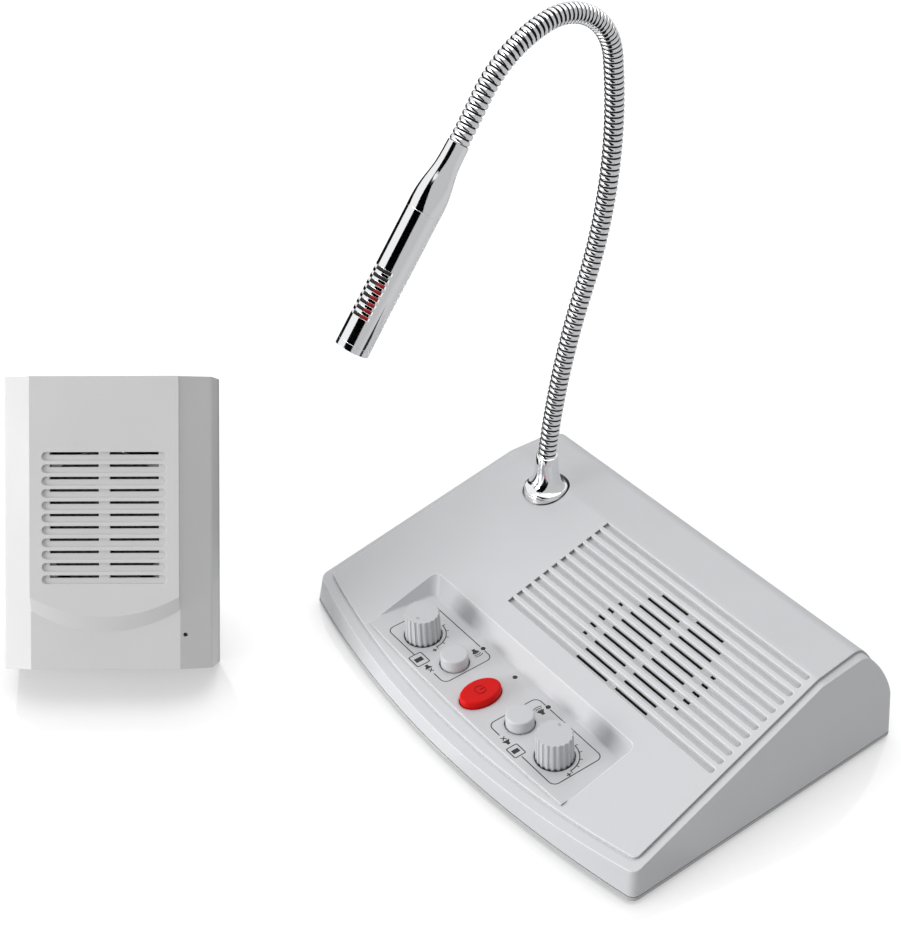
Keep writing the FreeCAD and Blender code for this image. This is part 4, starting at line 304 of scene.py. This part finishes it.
for look, names in LOOKS.items():
    for name in names:
        slots = nodes[name].data.materials
        if len(slots):
            for index in range(len(slots)):
                slots[index] = look
        else:
            slots.append(look)


# Bands that the wave texture draws per unit for a scale of 1
WAVE_BANDS = 20


def weave_material(name, dark, light, threads):
    """Plain weave of crossing threads, threads being their number per millimetre."""
    material, tree, shader = new_material(name)
    coords = node(tree, "ShaderNodeTexCoord")
    waves = []
    for direction in ("X", "Y"):
        wave = node(tree, "ShaderNodeTexWave", Scale=threads / MM / WAVE_BANDS, Distortion=0.6, Detail=1.0)
        wave.bands_direction = direction
        link(tree, coords.outputs["Object"], wave.inputs["Vector"])
        waves.append(wave)
    knit = node(tree, "ShaderNodeMath", operation="MAXIMUM")
    link(tree, waves[0].outputs["Fac"], knit.inputs[0])
    link(tree, waves[1].outputs["Fac"], knit.inputs[1])
    link(tree, shade(tree, knit.outputs[0], dark, light, 0.2, 0.9), shader.inputs["Base Color"])
    fuzz = noise(tree, 3000, 2)
    link(tree, spread(tree, fuzz.outputs["Fac"], 0.82, 0.97), shader.inputs["Roughness"])
    relief = node(tree, "ShaderNodeBump", Strength=0.7, Distance=0.15 * MM)
    link(tree, knit.outputs[0], relief.inputs["Height"])
    link(tree, relief.outputs["Normal"], shader.inputs["Normal"])
    return material


def mesh_piece(name, points, faces, materials, smooth=True):
    """A mesh object of the given points and faces, in the row frame."""
    data = bpy.data.meshes.new(name)
    data.from_pydata([tuple(point) for point in points], [], faces)
    data.validate()
    for material in materials:
        data.materials.append(material)
    for polygon in data.polygons:
        polygon.use_smooth = smooth
    piece = bpy.data.objects.new(name, data)
    bpy.context.scene.collection.objects.link(piece)
    return piece


# Speaker cloths and microphone gauze

# Share of the CAD disc's radius that the cloth reaches
INSIDE_RIM = 0.995


def stretched_cloth(name, cad, material, sag, body="base", rings=14, sides=72):
    """Round of cloth stretched where the plain CAD disc lies, with a slight sag in its middle."""
    low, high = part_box(cad)
    centre = (low + high) / 2
    source = nodes[cad]
    corners = [source.matrix_world @ vertex.co for vertex in source.data.vertices]
    radius = max((corner - centre).length for corner in corners) * INSIDE_RIM
    face = max(source.data.polygons, key=lambda polygon: polygon.area)
    normal = (source.matrix_world.to_3x3() @ face.normal).normalized()
    if normal.z < 0:
        normal = -normal
    across = normal.orthogonal().normalized()
    along = normal.cross(across)
    points = [centre - normal * sag * MM]
    for level in range(1, rings + 1):
        share = level / rings
        for index in range(sides):
            turn = 2 * math.pi * index / sides
            out = across * math.cos(turn) + along * math.sin(turn)
            points.append(centre + out * radius * share - normal * sag * MM * (1 - share * share))
    faces = [(0, 1 + index, 1 + (index + 1) % sides) for index in range(sides)]
    for level in range(rings - 1):
        base = 1 + level * sides
        for index in range(sides):
            after = (index + 1) % sides
            faces.append((base + index, base + sides + index, base + sides + after, base + after))
    piece = mesh_piece(name, points, faces, [material])
    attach(piece, body)
    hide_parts(cad)


# Threads per millimetre of all three
THREADS = 2.2
grille_weave = weave_material("grille_cloth_weave", (0.006, 0.006, 0.006), (0.03, 0.03, 0.031), THREADS)
stretched_cloth("grille_cloth", "speaker_cloth", grille_weave, 0.1)
stretched_cloth("unit_grille_cloth", "unit_speaker_cloth", grille_weave, 0.1)
stretched_cloth("mic_gauze", "mic_screen", grille_weave, 0.05, body="neck_tip", rings=6,
                sides=48)


# Gooseneck

# Gap between the ferrule and the first joint, and how far from it the first rib starts
JOINT_GAP, RIB_GAP = 1.8, 0.1
# Length and turn in degrees of each stretch of the centre line, as in the part's source
STRETCHES = ((77.9, -13.3), (5.4, 0), (94.0, 25.7), (5.4, 0), (45.4, 97.7), (39.4, 42.1), (5.4, 0),
             (14.2, -2.2))
# Y, Z and heading in degrees at the first rib; distances along the neck of the four joints and of its end
NECK_START = (97.6, 65.7, 84.7)
JOINTS = (-JOINT_GAP, 81.5, 180.9, 271.1)
NECK_END = 287.1
RIB_SIDES = 40
# Radius in a groove and on a rib
RIB_ROOT, RIB_CREST = 2.95, 4.14
# Rib pitch along the neck as counted in the photo: distance from the first rib, pitch there
PITCHES = ((0, 2.6), (150, 2.6), (170, 2.4), (190, 2.2), (210, 1.95), (230, 2.1), (250, 2.4), (270, 2.6),
           (300, 2.6))
# Shares of one rib's length at which its round back is cut, and the reach at either end of the groove
# painted near-black as shade
RIB_SHARES = (0.0, 0.045, 0.09, 0.15, 0.24, 0.36, 0.5, 0.64, 0.76, 0.85, 0.91, 0.955)
GROOVE_END, GROOVE_START = 0.09, 0.84


def neck_point(distance):
    """Centre and heading of the gooseneck at a distance from its first rib; below 0, in the ferrule."""
    y, z, heading = NECK_START
    if distance < 0:
        direction = math.radians(heading)
        return y + distance * math.cos(direction), z + distance * math.sin(direction), heading
    for length, turn in STRETCHES:
        step = min(distance, length)
        swing = turn * step / length
        half = math.radians(swing / 2)
        chord = step * (math.sin(half) / half if swing else 1)
        direction = math.radians(heading + swing / 2)
        y += chord * math.cos(direction)
        z += chord * math.sin(direction)
        heading += swing
        distance -= step
        if distance <= 1e-9:
            break
    return y, z, heading


def ring(distance, radius):
    """Points round the gooseneck at a distance from its first rib."""
    y, z, heading = neck_point(distance)
    up = math.radians(heading)
    across = (math.sin(up), -math.cos(up))
    points = []
    for index in range(RIB_SIDES):
        angle = 2 * math.pi * index / RIB_SIDES
        out = radius * math.sin(angle)
        points.append(at(NECK_X + radius * math.cos(angle), y + across[0] * out, z + across[1] * out))
    return points


def rib_edges():
    """Distances of the rib boundaries, from the ferrule's joint to the microphone."""
    edges = [-JOINT_GAP + RIB_GAP]
    while edges[-1] < NECK_END:
        here = max(edges[-1], 0)
        for (low, first), (high, second) in zip(PITCHES, PITCHES[1:]):
            if low <= here < high:
                edges.append(edges[-1] + first + (second - first) * (here - low) / (high - low))
                break
    scale = (NECK_END - edges[0]) / (edges[-1] - edges[0])
    return [edges[0] + (edge - edges[0]) * scale for edge in edges]


def neck_piece(name, edges):
    """Ribbed hose over the given rib boundaries, each rib with a round back and a groove painted near-black
    as shade.
    """
    stations = []
    for low, high in zip(edges, edges[1:]):
        for share in RIB_SHARES:
            swell = math.sqrt(max(1 - (2 * share - 1) ** 2, 0))
            stations.append((low + share * (high - low), RIB_ROOT + (RIB_CREST - RIB_ROOT) * swell, share))
    stations.append((edges[-1], RIB_ROOT, 0.0))
    points = []
    faces = []
    dark = []
    for index, (distance, radius, share) in enumerate(stations):
        points += ring(distance, radius)
        if index:
            base = (index - 1) * RIB_SIDES
            last = stations[index - 1][2]
            for side in range(RIB_SIDES):
                next_side = (side + 1) % RIB_SIDES
                faces.append((base + side, base + RIB_SIDES + side,
                              base + RIB_SIDES + next_side, base + next_side))
                dark.append(last < GROOVE_END or last > GROOVE_START)
    piece = mesh_piece(name, points, faces, [neck_chrome, painted_groove_shade])
    for polygon, is_dark in zip(piece.data.polygons, dark):
        polygon.material_index = 1 if is_dark else 0
    return piece


NECK_NODES = ("neck_lower", "neck_middle", "neck_arch", "neck_tip")
# Length on each side of a joint at which the centre line is sampled; under the first it is only the stub's
# end
REACH = (6.0, 26.0, 26.0, 10.0)
STUB_REACH = 0.2
EDGES = rib_edges()
# Ribs at which one piece of the hose ends and the next begins: midway between two joints
CUTS = [0]
for first, second in zip(JOINTS, JOINTS[1:]):
    wanted = (max(first, 0) + second) / 2
    CUTS.append(min(range(len(EDGES)), key=lambda index: abs(EDGES[index] - wanted)))
CUTS.append(len(EDGES) - 1)
for index, plain_length in enumerate(NECK_NODES):
    piece = neck_piece("gooseneck_%d" % (index + 1), EDGES[CUTS[index]:CUTS[index + 1] + 1])
    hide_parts(plain_length)
    y0, z0, _ = neck_point(JOINTS[index] - (REACH[index] if index else STUB_REACH))
    y1, z1, _ = neck_point(JOINTS[index] + REACH[index])
    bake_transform(piece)


# Ferrule

# Y and Z of the seat on the case, then radius and height over it: disc rim, hollow flare and slim collar
FERRULE_SEAT = (97.6, 44.2)
FERRULE_PROFILE = ((9.5, 0.0), (9.9, 0.4), (9.9, 4.1), (9.6, 4.6), (9.0, 4.8), (7.9, 5.6), (7.1, 6.7),
                   (6.5, 8.2), (6.0, 10.0), (5.6, 12.2), (5.3, 14.8), (5.1, 17.6), (4.95, 20.6), (4.8, 21.1),
                   (4.3, 21.3), (3.2, 21.3))


def turned_piece(name, profile, place, materials, sides=64):
    """Lathe piece about an upright axis at a place of the console frame."""
    points, faces = [], []
    for radius, height in profile:
        for index in range(sides):
            turn = 2 * math.pi * index / sides
            points.append(at(place[0] + radius * math.cos(turn), place[1] + radius * math.sin(turn),
                             place[2] + height))
    for level in range(len(profile) - 1):
        for index in range(sides):
            low = level * sides + index
            side = level * sides + (index + 1) % sides
            faces.append((low, side, side + sides, low + sides))
    return mesh_piece(name, points, faces, materials)


ferrule_shell = turned_piece("ferrule_shell", FERRULE_PROFILE, (NECK_X, *FERRULE_SEAT), [chrome])
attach(ferrule_shell, "base")


# Printed signs and scales

# Height of the print over the recess floor
INK_LIFT = 0.03


def ribbon(points, width, closed=False, lift=INK_LIFT):
    """Flat line of even width over the recess floor; returns its corner points and faces."""
    count = len(points)
    corners = []
    for index in range(count):
        before = points[index - 1] if index or closed else points[index]
        after = points[(index + 1) % count] if index < count - 1 or closed else points[index]
        dx, dy = after[0] - before[0], after[1] - before[1]
        length = math.hypot(dx, dy) or 1
        nx, ny = -dy / length * width / 2, dx / length * width / 2
        x, y = points[index]
        corners.append(on_floor(x + nx, y + ny, lift))
        corners.append(on_floor(x - nx, y - ny, lift))
    faces = []
    for index in range(count if closed else count - 1):
        a = 2 * index
        b = 2 * ((index + 1) % count)
        faces.append((a, a + 1, b + 1, b))
    return corners, faces


def patch(points, lift=INK_LIFT):
    """Filled outline over the recess floor."""
    return [on_floor(x, y, lift) for x, y in points], [tuple(range(len(points)))]


def arc_points(cx, cy, radius, start, end, steps=16):
    """Points on an arc, angles in degrees clockwise from +Y."""
    points = []
    for index in range(steps + 1):
        angle = math.radians(start + (end - start) * index / steps)
        points.append((cx + radius * math.sin(angle), cy + radius * math.cos(angle)))
    return points


def merge(shapes, name, material, body):
    """One flat piece from several shapes, riding a body."""
    points, faces = [], []
    for corners, parts in shapes:
        base = len(points)
        points += corners
        faces += [tuple(base + number for number in part) for part in parts]
    piece = mesh_piece(name, points, faces, [material], smooth=False)
    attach(piece, body)


# Widths of the printed lines, then the boxes' near, far, front and back lines and their corner radius
LINE, THIN_LINE, CROSS_LINE, PLUS_LINE = 0.44, 0.36, 0.42, 0.5
BOX_NEAR, BOX_FAR, BOX_FRONT, BOX_BACK, BOX_TURN = 15.2, 57.5, 3.4, 28.4, 2.9
# Gaps in the boxes' lines, at the lamp on the back line and at the two signs on the front line
BACK_GAP, FRONT_GAP = (20.9, 23.9), (22.8, 37.4)
# A speaker's outline round its centre: half height and end of the magnet, waist, mouth and its half height
SOUNDING_PLACE, SOUNDING_SHAPE = (23.0, 24.8), (0.75, 1.5, 0.4, -1.1, 1.9)
SILENT_PLACE, SILENT_SHAPE = (27.2, 3.6), (0.7, 1.8, 0.8, -0.6, 1.8)
WAVE_RADII, WAVE_SPREAD, WAVE_SHIFT = (2.0, 3.0, 4.0), 32, 0.6
CROSS_LEFT, CROSS_RIGHT, CROSS_HALF = -2.9, -1.1, 0.95
# Console sign: its centre, sizes at the left and right box, half sizes of the plate, window and plate corner
CONSOLE_SIGN, SIGN_SIZES = (33.6, 3.4), {-1: 1.35, 1: 1.15}
PLATE_HALF, PLATE_TURN, WINDOW_HALF, WINDOW_LOW, WINDOW_HIGH = (2.6, 2.3), 0.6, 0.9, 1.5, 1.3
# Volume scales: knob centres, radius of the arc, its angles, ticks and plus sign
KNOB_SIDES, KNOB_DEPTH = (-45.35, 45.35), 13.74
SCALE_RADIUS, SCALE_START, SCALE_END = 9.9, 2, 90
TICK_ANGLES, TICK_RADII = (3, 25, 47, 69, 90), (9.8, 11.2)
PLUS_ANGLE, PLUS_RADIUS, PLUS_HALF = 99, 11.2, 1.0


def round_box(left, right, front, back, turn, steps):
    """The four rounded corners of a box, clockwise from the right back one."""
    return [arc_points(x, y, turn, angle, angle + 90, steps) for x, y, angle in (
        (right - turn, back - turn, 0), (right - turn, front + turn, 90),
        (left + turn, front + turn, 180), (left + turn, back - turn, 270))]


def speaker_outline(place, shape):
    """A small loudspeaker with its mouth towards the power button."""
    (x, y), (magnet, back, waist, mouth, wide) = place, shape
    return [(x + back, y - magnet), (x + back, y + magnet), (x + waist, y + magnet), (x + mouth, y + wide),
            (x + mouth, y - wide), (x + waist, y - magnet)]


def flip(side, points):
    """The points on the left or right side of the recess, side being -1 or 1."""
    return [(side * x, y) for x, y in points]


prints = []
for side in (-1, 1):
    # Box round the knob and button, open where the signs and the lamp stand on its line
    corners = round_box(BOX_NEAR, BOX_FAR, BOX_FRONT, BOX_BACK, BOX_TURN, 8)
    outer_back, outer_front, inner_front, inner_back = corners
    inner = [(FRONT_GAP[0], BOX_FRONT)] + inner_front + inner_back + [(BACK_GAP[0], BOX_BACK)]
    outer = [(BACK_GAP[1], BOX_BACK)] + outer_back + outer_front + [(FRONT_GAP[1], BOX_FRONT)]
    prints.append(ribbon(flip(side, inner), LINE))
    prints.append(ribbon(flip(side, outer), LINE))
    # Sounding speaker, its waves towards the power button
    prints.append(patch(flip(side, speaker_outline(SOUNDING_PLACE, SOUNDING_SHAPE))))
    for radius in WAVE_RADII:
        wave = arc_points(SOUNDING_PLACE[0] + WAVE_SHIFT, SOUNDING_PLACE[1], radius, 270 - WAVE_SPREAD,
                          270 + WAVE_SPREAD, 8)
        prints.append(ribbon(flip(side, wave), THIN_LINE))
    # Silent speaker with a cross, on the box's front line
    prints.append(patch(flip(side, speaker_outline(SILENT_PLACE, SILENT_SHAPE))))
    cx, cy = SILENT_PLACE
    for tilt in (-1, 1):
        stroke = [(cx + CROSS_LEFT, cy - CROSS_HALF * tilt), (cx + CROSS_RIGHT, cy + CROSS_HALF * tilt)]
        prints.append(ribbon(flip(side, stroke), CROSS_LINE))
    # Console sign: an upright plate with a dark window
    size = SIGN_SIZES[side]
    cx, cy = CONSOLE_SIGN
    w, h = (half * size for half in PLATE_HALF)
    plate = sum(round_box(cx - w, cx + w, cy - h, cy + h, PLATE_TURN, 4), [])
    prints.append(ribbon(flip(side, plate), LINE, closed=True))
    half, low, high = (value * size for value in (WINDOW_HALF, -WINDOW_LOW, WINDOW_HIGH))
    window = [(cx - half, cy + low), (cx - half, cy + high), (cx + half, cy + high), (cx + half, cy + low)]
    prints.append(patch(flip(side, window)))

# Scale round each knob, with ticks and a plus sign at its loud end
for knob in KNOB_SIDES:
    prints.append(ribbon(arc_points(knob, KNOB_DEPTH, SCALE_RADIUS, SCALE_START, SCALE_END, 24), LINE))
    for angle in TICK_ANGLES:
        tick = [arc_points(knob, KNOB_DEPTH, radius, angle, angle, 1)[0] for radius in TICK_RADII]
        prints.append(ribbon(tick, THIN_LINE))
    px, py = arc_points(knob, KNOB_DEPTH, PLUS_RADIUS, PLUS_ANGLE, PLUS_ANGLE, 1)[0]
    prints.append(ribbon([(px - PLUS_HALF, py), (px + PLUS_HALF, py)], PLUS_LINE))
    prints.append(ribbon([(px, py - PLUS_HALF), (px, py + PLUS_HALF)], PLUS_LINE))
merge(prints, "printed_signs", ink_black, "base")

# Dark red power sign in the groove of the button's top: height over the recess floor, the circle's centre
# and radius, its opening in degrees to each side, line width, and the stroke's ends from that centre
SIGN_LIFT = 3.26
POWER_DEPTH, POWER_RADIUS, POWER_OPENING, POWER_LINE = 10.9, 2.225, 33, 0.62
POWER_STROKE = (0.15, 2.45)
circle = arc_points(0, POWER_DEPTH, POWER_RADIUS, POWER_OPENING, 360 - POWER_OPENING, 32)
sign = [ribbon(circle, POWER_LINE, lift=SIGN_LIFT),
        ribbon([(0, POWER_DEPTH + end) for end in POWER_STROKE], POWER_LINE, lift=SIGN_LIFT)]
merge(sign, "power_sign", symbol_red, "power_key")


# Lamp lenses: places across the recess and along it, radius, height of the dome and how deep its rim stands
LAMP_SIDES, LAMP_DEPTH = (-22.3, 0.0, 22.3), 28.7
LENS_RADIUS, LENS_HEIGHT, LENS_SUNK = 1.0, 0.55, 0.3


def dome(name, centre, radius, height, material, body):
    """Low lens dome standing on a lamp."""
    points, faces = [], []
    rings, sides = 6, 24
    for level in range(rings + 1):
        angle = math.pi / 2 * level / rings
        for index in range(sides):
            turn = 2 * math.pi * index / sides
            x, y = centre
            points.append(on_floor(x + radius * math.cos(angle) * math.cos(turn),
                                   y + radius * math.cos(angle) * math.sin(turn),
                                   height * math.sin(angle) - LENS_SUNK))
    for level in range(rings):
        for index in range(sides):
            a = level * sides + index
            b = level * sides + (index + 1) % sides
            faces.append((a, b, b + sides, a + sides))
    piece = mesh_piece(name, points, faces, [material])
    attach(piece, body)


for number, x in enumerate(LAMP_SIDES, start=1):
    dome("lamp_lens_%d" % number, (x, LAMP_DEPTH), LENS_RADIUS, LENS_HEIGHT, led_dark, "base")


# Floor, light and camera

# Dark studio cards that only mirrors see, round the neck and leaning over with height
# Each: start and end azimuth, lowest and highest elevation in degrees, darkness
CARDS = ((118.0, 183.0, -90.0, 8.0, 1.0), (183.0, 207.0, -15.0, 8.0, 1.0), (280.0, 329.0, -90.0, 52.0, 1.0),
         (329.0, 474.0, -90.0, 52.0, 0.42), (352.0, 360.0, -25.0, -16.0, 1.0))
# Azimuth that a card's sides lose per unit of elevation, and the point that the floor's cards go round
CARD_SHEAR = 0.68
CARD_CENTRE = (NECK_X, 60, 130)


def card_weight(tree, vector):
    """Darkness of the cards in a direction."""
    split = node(tree, "ShaderNodeSeparateXYZ")
    link(tree, vector, split.inputs[0])
    azimuth = node(tree, "ShaderNodeMath", operation="ARCTAN2")
    link(tree, split.outputs["Y"], azimuth.inputs[0])
    link(tree, split.outputs["X"], azimuth.inputs[1])
    flat = node(tree, "ShaderNodeCombineXYZ")
    link(tree, split.outputs["X"], flat.inputs["X"])
    link(tree, split.outputs["Y"], flat.inputs["Y"])
    reach = node(tree, "ShaderNodeVectorMath", operation="LENGTH")
    link(tree, flat.outputs[0], reach.inputs[0])
    rise = node(tree, "ShaderNodeMath", operation="ARCTAN2")
    link(tree, split.outputs["Z"], rise.inputs[0])
    link(tree, reach.outputs["Value"], rise.inputs[1])
    sheared = node(tree, "ShaderNodeMath", operation="MULTIPLY_ADD")
    link(tree, rise.outputs[0], sheared.inputs[0])
    sheared.inputs[1].default_value = CARD_SHEAR
    link(tree, azimuth.outputs[0], sheared.inputs[2])
    total = None
    for start, end, low, high, weight in CARDS:
        offset = node(tree, "ShaderNodeMath", operation="SUBTRACT")
        link(tree, sheared.outputs[0], offset.inputs[0])
        offset.inputs[1].default_value = math.radians((start + end) / 2)
        turned = node(tree, "ShaderNodeMath", operation="COSINE")
        link(tree, offset.outputs[0], turned.inputs[0])
        inside = node(tree, "ShaderNodeMath", operation="GREATER_THAN")
        link(tree, turned.outputs[0], inside.inputs[0])
        inside.inputs[1].default_value = math.cos(math.radians((end - start) / 2))
        level = node(tree, "ShaderNodeMath", operation="COMPARE")
        link(tree, rise.outputs[0], level.inputs[0])
        level.inputs[1].default_value = math.radians((low + high) / 2)
        level.inputs[2].default_value = math.radians((high - low) / 2)
        both = node(tree, "ShaderNodeMath", operation="MULTIPLY")
        link(tree, inside.outputs[0], both.inputs[0])
        link(tree, level.outputs[0], both.inputs[1])
        part = node(tree, "ShaderNodeMath", operation="MULTIPLY")
        link(tree, both.outputs[0], part.inputs[0])
        part.inputs[1].default_value = weight
        if total is None:
            total = part
        else:
            joined = node(tree, "ShaderNodeMath", operation="MAXIMUM")
            link(tree, total.outputs[0], joined.inputs[0])
            link(tree, part.outputs[0], joined.inputs[1])
            total = joined
    return total.outputs[0]


def seen_directly(tree, path):
    """1 for camera, mirror and glass rays, 0 for the light the set throws."""
    first = node(tree, "ShaderNodeMath", operation="MAXIMUM")
    link(tree, path.outputs["Is Camera Ray"], first.inputs[0])
    link(tree, path.outputs["Is Glossy Ray"], first.inputs[1])
    second = node(tree, "ShaderNodeMath", operation="MAXIMUM")
    link(tree, first.outputs[0], second.inputs[0])
    link(tree, path.outputs["Is Transmission Ray"], second.inputs[1])
    return second.outputs[0]


def only_mirrors(tree, path, weight):
    """The weight for mirror rays, 0 for all others."""
    product = node(tree, "ShaderNodeMath", operation="MULTIPLY")
    link(tree, weight, product.inputs[0])
    link(tree, path.outputs["Is Glossy Ray"], product.inputs[1])
    return product.outputs[0]


# Floor: how much it throws back, how much light it shows, its own glow from under the part to open floor
FLOOR_BOUNCE, FLOOR_SOFT, FLOOR_GLOW = 0.82, 0.4, (0.5, 0.78)
# Reach of the contact shadow in metres, and the openness from full shadow to none
CONTACT_REACH, CONTACT_OPEN = 0.035, (0.45, 1.0)
# Mirror image: roughness, share at the customer unit and beside the console, distances in metres from where
# it starts to fade to where it is gone
MIRROR_ROUGH, MIRROR_SHARES, MIRROR_FADE = 0.09, (0.2, 0.12), (0.23, 0.38)
# Y in the console frame from where the console's share holds
CONSOLE_LINE = 40
# Half the floor's side and how far it lies under the feet, in metres
FLOOR_SIZE, FLOOR_DROP = 6, 0.00005


def floor_material():
    """White floor: plain diffuse for the light it throws back, white with shadow for camera and mirrors."""
    material, tree, shader = new_material("studio_floor")
    tree.nodes.remove(shader)
    output = tree.nodes["Material Output"]
    path = node(tree, "ShaderNodeLightPath")
    plain = node(tree, "ShaderNodeBsdfDiffuse", Color=(FLOOR_BOUNCE,) * 3 + (1,))
    soft = node(tree, "ShaderNodeBsdfDiffuse", Color=(FLOOR_SOFT,) * 3 + (1,))
    glow = node(tree, "ShaderNodeEmission", Color=(1, 1, 1, 1))
    contact = node(tree, "ShaderNodeAmbientOcclusion", Distance=CONTACT_REACH)
    contact.samples = 8
    link(tree, spread(tree, contact.outputs["AO"], *FLOOR_GLOW, *CONTACT_OPEN), glow.inputs["Strength"])
    white = node(tree, "ShaderNodeAddShader")
    link(tree, soft.outputs[0], white.inputs[0])
    link(tree, glow.outputs[0], white.inputs[1])
    mirror = node(tree, "ShaderNodeBsdfGlossy", Color=(1, 1, 1, 1), Roughness=MIRROR_ROUGH)
    wet = node(tree, "ShaderNodeMixShader")
    link(tree, white.outputs[0], wet.inputs[1])
    link(tree, mirror.outputs[0], wet.inputs[2])
    place = node(tree, "ShaderNodeNewGeometry")
    centre = at(*CARD_CENTRE)
    away = node(tree, "ShaderNodeVectorMath", operation="SUBTRACT")
    away.inputs[1].default_value = (centre.x, centre.y, centre.z)
    link(tree, place.outputs["Position"], away.inputs[0])
    # The mirror image is clearer under the customer unit, fainter beside the console and gone further out
    split = node(tree, "ShaderNodeSeparateXYZ")
    link(tree, away.outputs[0], split.inputs[0])
    reach = node(tree, "ShaderNodeVectorMath", operation="LENGTH")
    link(tree, away.outputs[0], reach.inputs[0])
    unit_low, unit_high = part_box("unit_front")
    unit_line = (unit_low.y + unit_high.y) / 2 - centre.y
    console_line = at(0, CONSOLE_LINE, 0).y - centre.y
    clear = node(tree, "ShaderNodeMath", operation="MULTIPLY")
    link(tree, spread(tree, split.outputs["Y"], *MIRROR_SHARES, unit_line, console_line), clear.inputs[0])
    link(tree, spread(tree, reach.outputs["Value"], 1.0, 0.0, *MIRROR_FADE), clear.inputs[1])
    link(tree, clear.outputs[0], wet.inputs["Fac"])
    carded = node(tree, "ShaderNodeMixShader")
    black = node(tree, "ShaderNodeEmission", Color=(0.01, 0.01, 0.01, 1), Strength=1)
    link(tree, wet.outputs[0], carded.inputs[1])
    link(tree, black.outputs[0], carded.inputs[2])
    link(tree, only_mirrors(tree, path, card_weight(tree, away.outputs[0])), carded.inputs["Fac"])
    out = node(tree, "ShaderNodeMixShader")
    link(tree, seen_directly(tree, path), out.inputs["Fac"])
    link(tree, plain.outputs[0], out.inputs[1])
    link(tree, carded.outputs[0], out.inputs[2])
    link(tree, out.outputs[0], output.inputs["Surface"])
    return material


floor_corners = [(x * FLOOR_SIZE, y * FLOOR_SIZE, 0) for x, y in ((-1, -1), (1, -1), (1, 1), (-1, 1))]
floor = mesh_piece("studio_floor", floor_corners, [(0, 1, 2, 3)], [floor_material()])
floor.location.z = -FLOOR_DROP

# Strength of the sky as the light that it throws, and as camera and mirrors see it
SKY_LIGHT, SKY_SEEN = 0.46, 1.0
world = bpy.data.worlds.new("studio")
bpy.context.scene.world = world
world.use_nodes = True
tree = world.node_tree
background = tree.nodes["Background"]
path = node(tree, "ShaderNodeLightPath")
level = node(tree, "ShaderNodeMapRange")
level.inputs["To Min"].default_value = SKY_LIGHT
level.inputs["To Max"].default_value = SKY_SEEN
link(tree, seen_directly(tree, path), level.inputs["Value"])
sky = node(tree, "ShaderNodeTexCoord")
dimmed = node(tree, "ShaderNodeMath", operation="SUBTRACT")
dimmed.inputs[0].default_value = 1.0
link(tree, only_mirrors(tree, path, card_weight(tree, sky.outputs["Generated"])), dimmed.inputs[1])
strength = node(tree, "ShaderNodeMath", operation="MULTIPLY")
link(tree, level.outputs["Result"], strength.inputs[0])
link(tree, dimmed.outputs[0], strength.inputs[1])
background.inputs["Color"].default_value = (1, 1, 1, 1)
link(tree, strength.outputs[0], background.inputs["Strength"])


def lamp(name, place, target, width, height, power):
    """Rectangular lamp that faces its target, sizes in metres and power in watts."""
    data = bpy.data.lights.new(name, "AREA")
    data.shape = "RECTANGLE"
    data.size = width
    data.size_y = height
    data.energy = power
    made = bpy.data.objects.new(name, data)
    made.location = place
    made.rotation_euler = (Vector(target) - Vector(place)).to_track_quat("-Z", "Y").to_euler()
    bpy.context.scene.collection.objects.link(made)


lamp("key_box", (-0.45, -1.45, 0.32), (0, 0, 0.06), 1.0, 0.5, 18.0)
lamp("top_box", (-0.1, 0.25, 1.4), (0, 0, 0), 1.3, 1.3, 9.4)

# Camera fitted to the photo: place in the console frame; azimuth from straight in front towards the
# teller's right, elevation and roll in degrees; focal length in pixels, and shifts
CAMERA_PLACE = (418.53, -303.48, 502.32)
CAMERA_AZIMUTH, CAMERA_ELEVATION, CAMERA_ROLL = 54.268, 35.214, -0.175
FOCAL_PIXELS, PHOTO_WIDTH, SENSOR_WIDTH, SHIFTS = 1714.16, 901, 36.0, (-0.00374, -0.00343)
camera_data = bpy.data.cameras.new("camera")
camera_data.sensor_fit = "HORIZONTAL"
camera_data.sensor_width = SENSOR_WIDTH
camera_data.lens = FOCAL_PIXELS * SENSOR_WIDTH / PHOTO_WIDTH
camera_data.shift_x, camera_data.shift_y = SHIFTS
camera_data.clip_start = 0.01
camera = bpy.data.objects.new("camera", camera_data)
turned = Matrix.Rotation(math.radians(CAMERA_AZIMUTH), 4, "Z")
tilted = Matrix.Rotation(math.radians(90 - CAMERA_ELEVATION), 4, "X")
rolled = Matrix.Rotation(math.radians(CAMERA_ROLL), 4, "Z")
camera.matrix_world = Matrix.Translation(at(*CAMERA_PLACE)) @ turned @ tilted @ rolled
bpy.context.scene.collection.objects.link(camera)
bpy.context.scene.camera = camera

bpy.context.scene.view_settings.view_transform = "Standard"
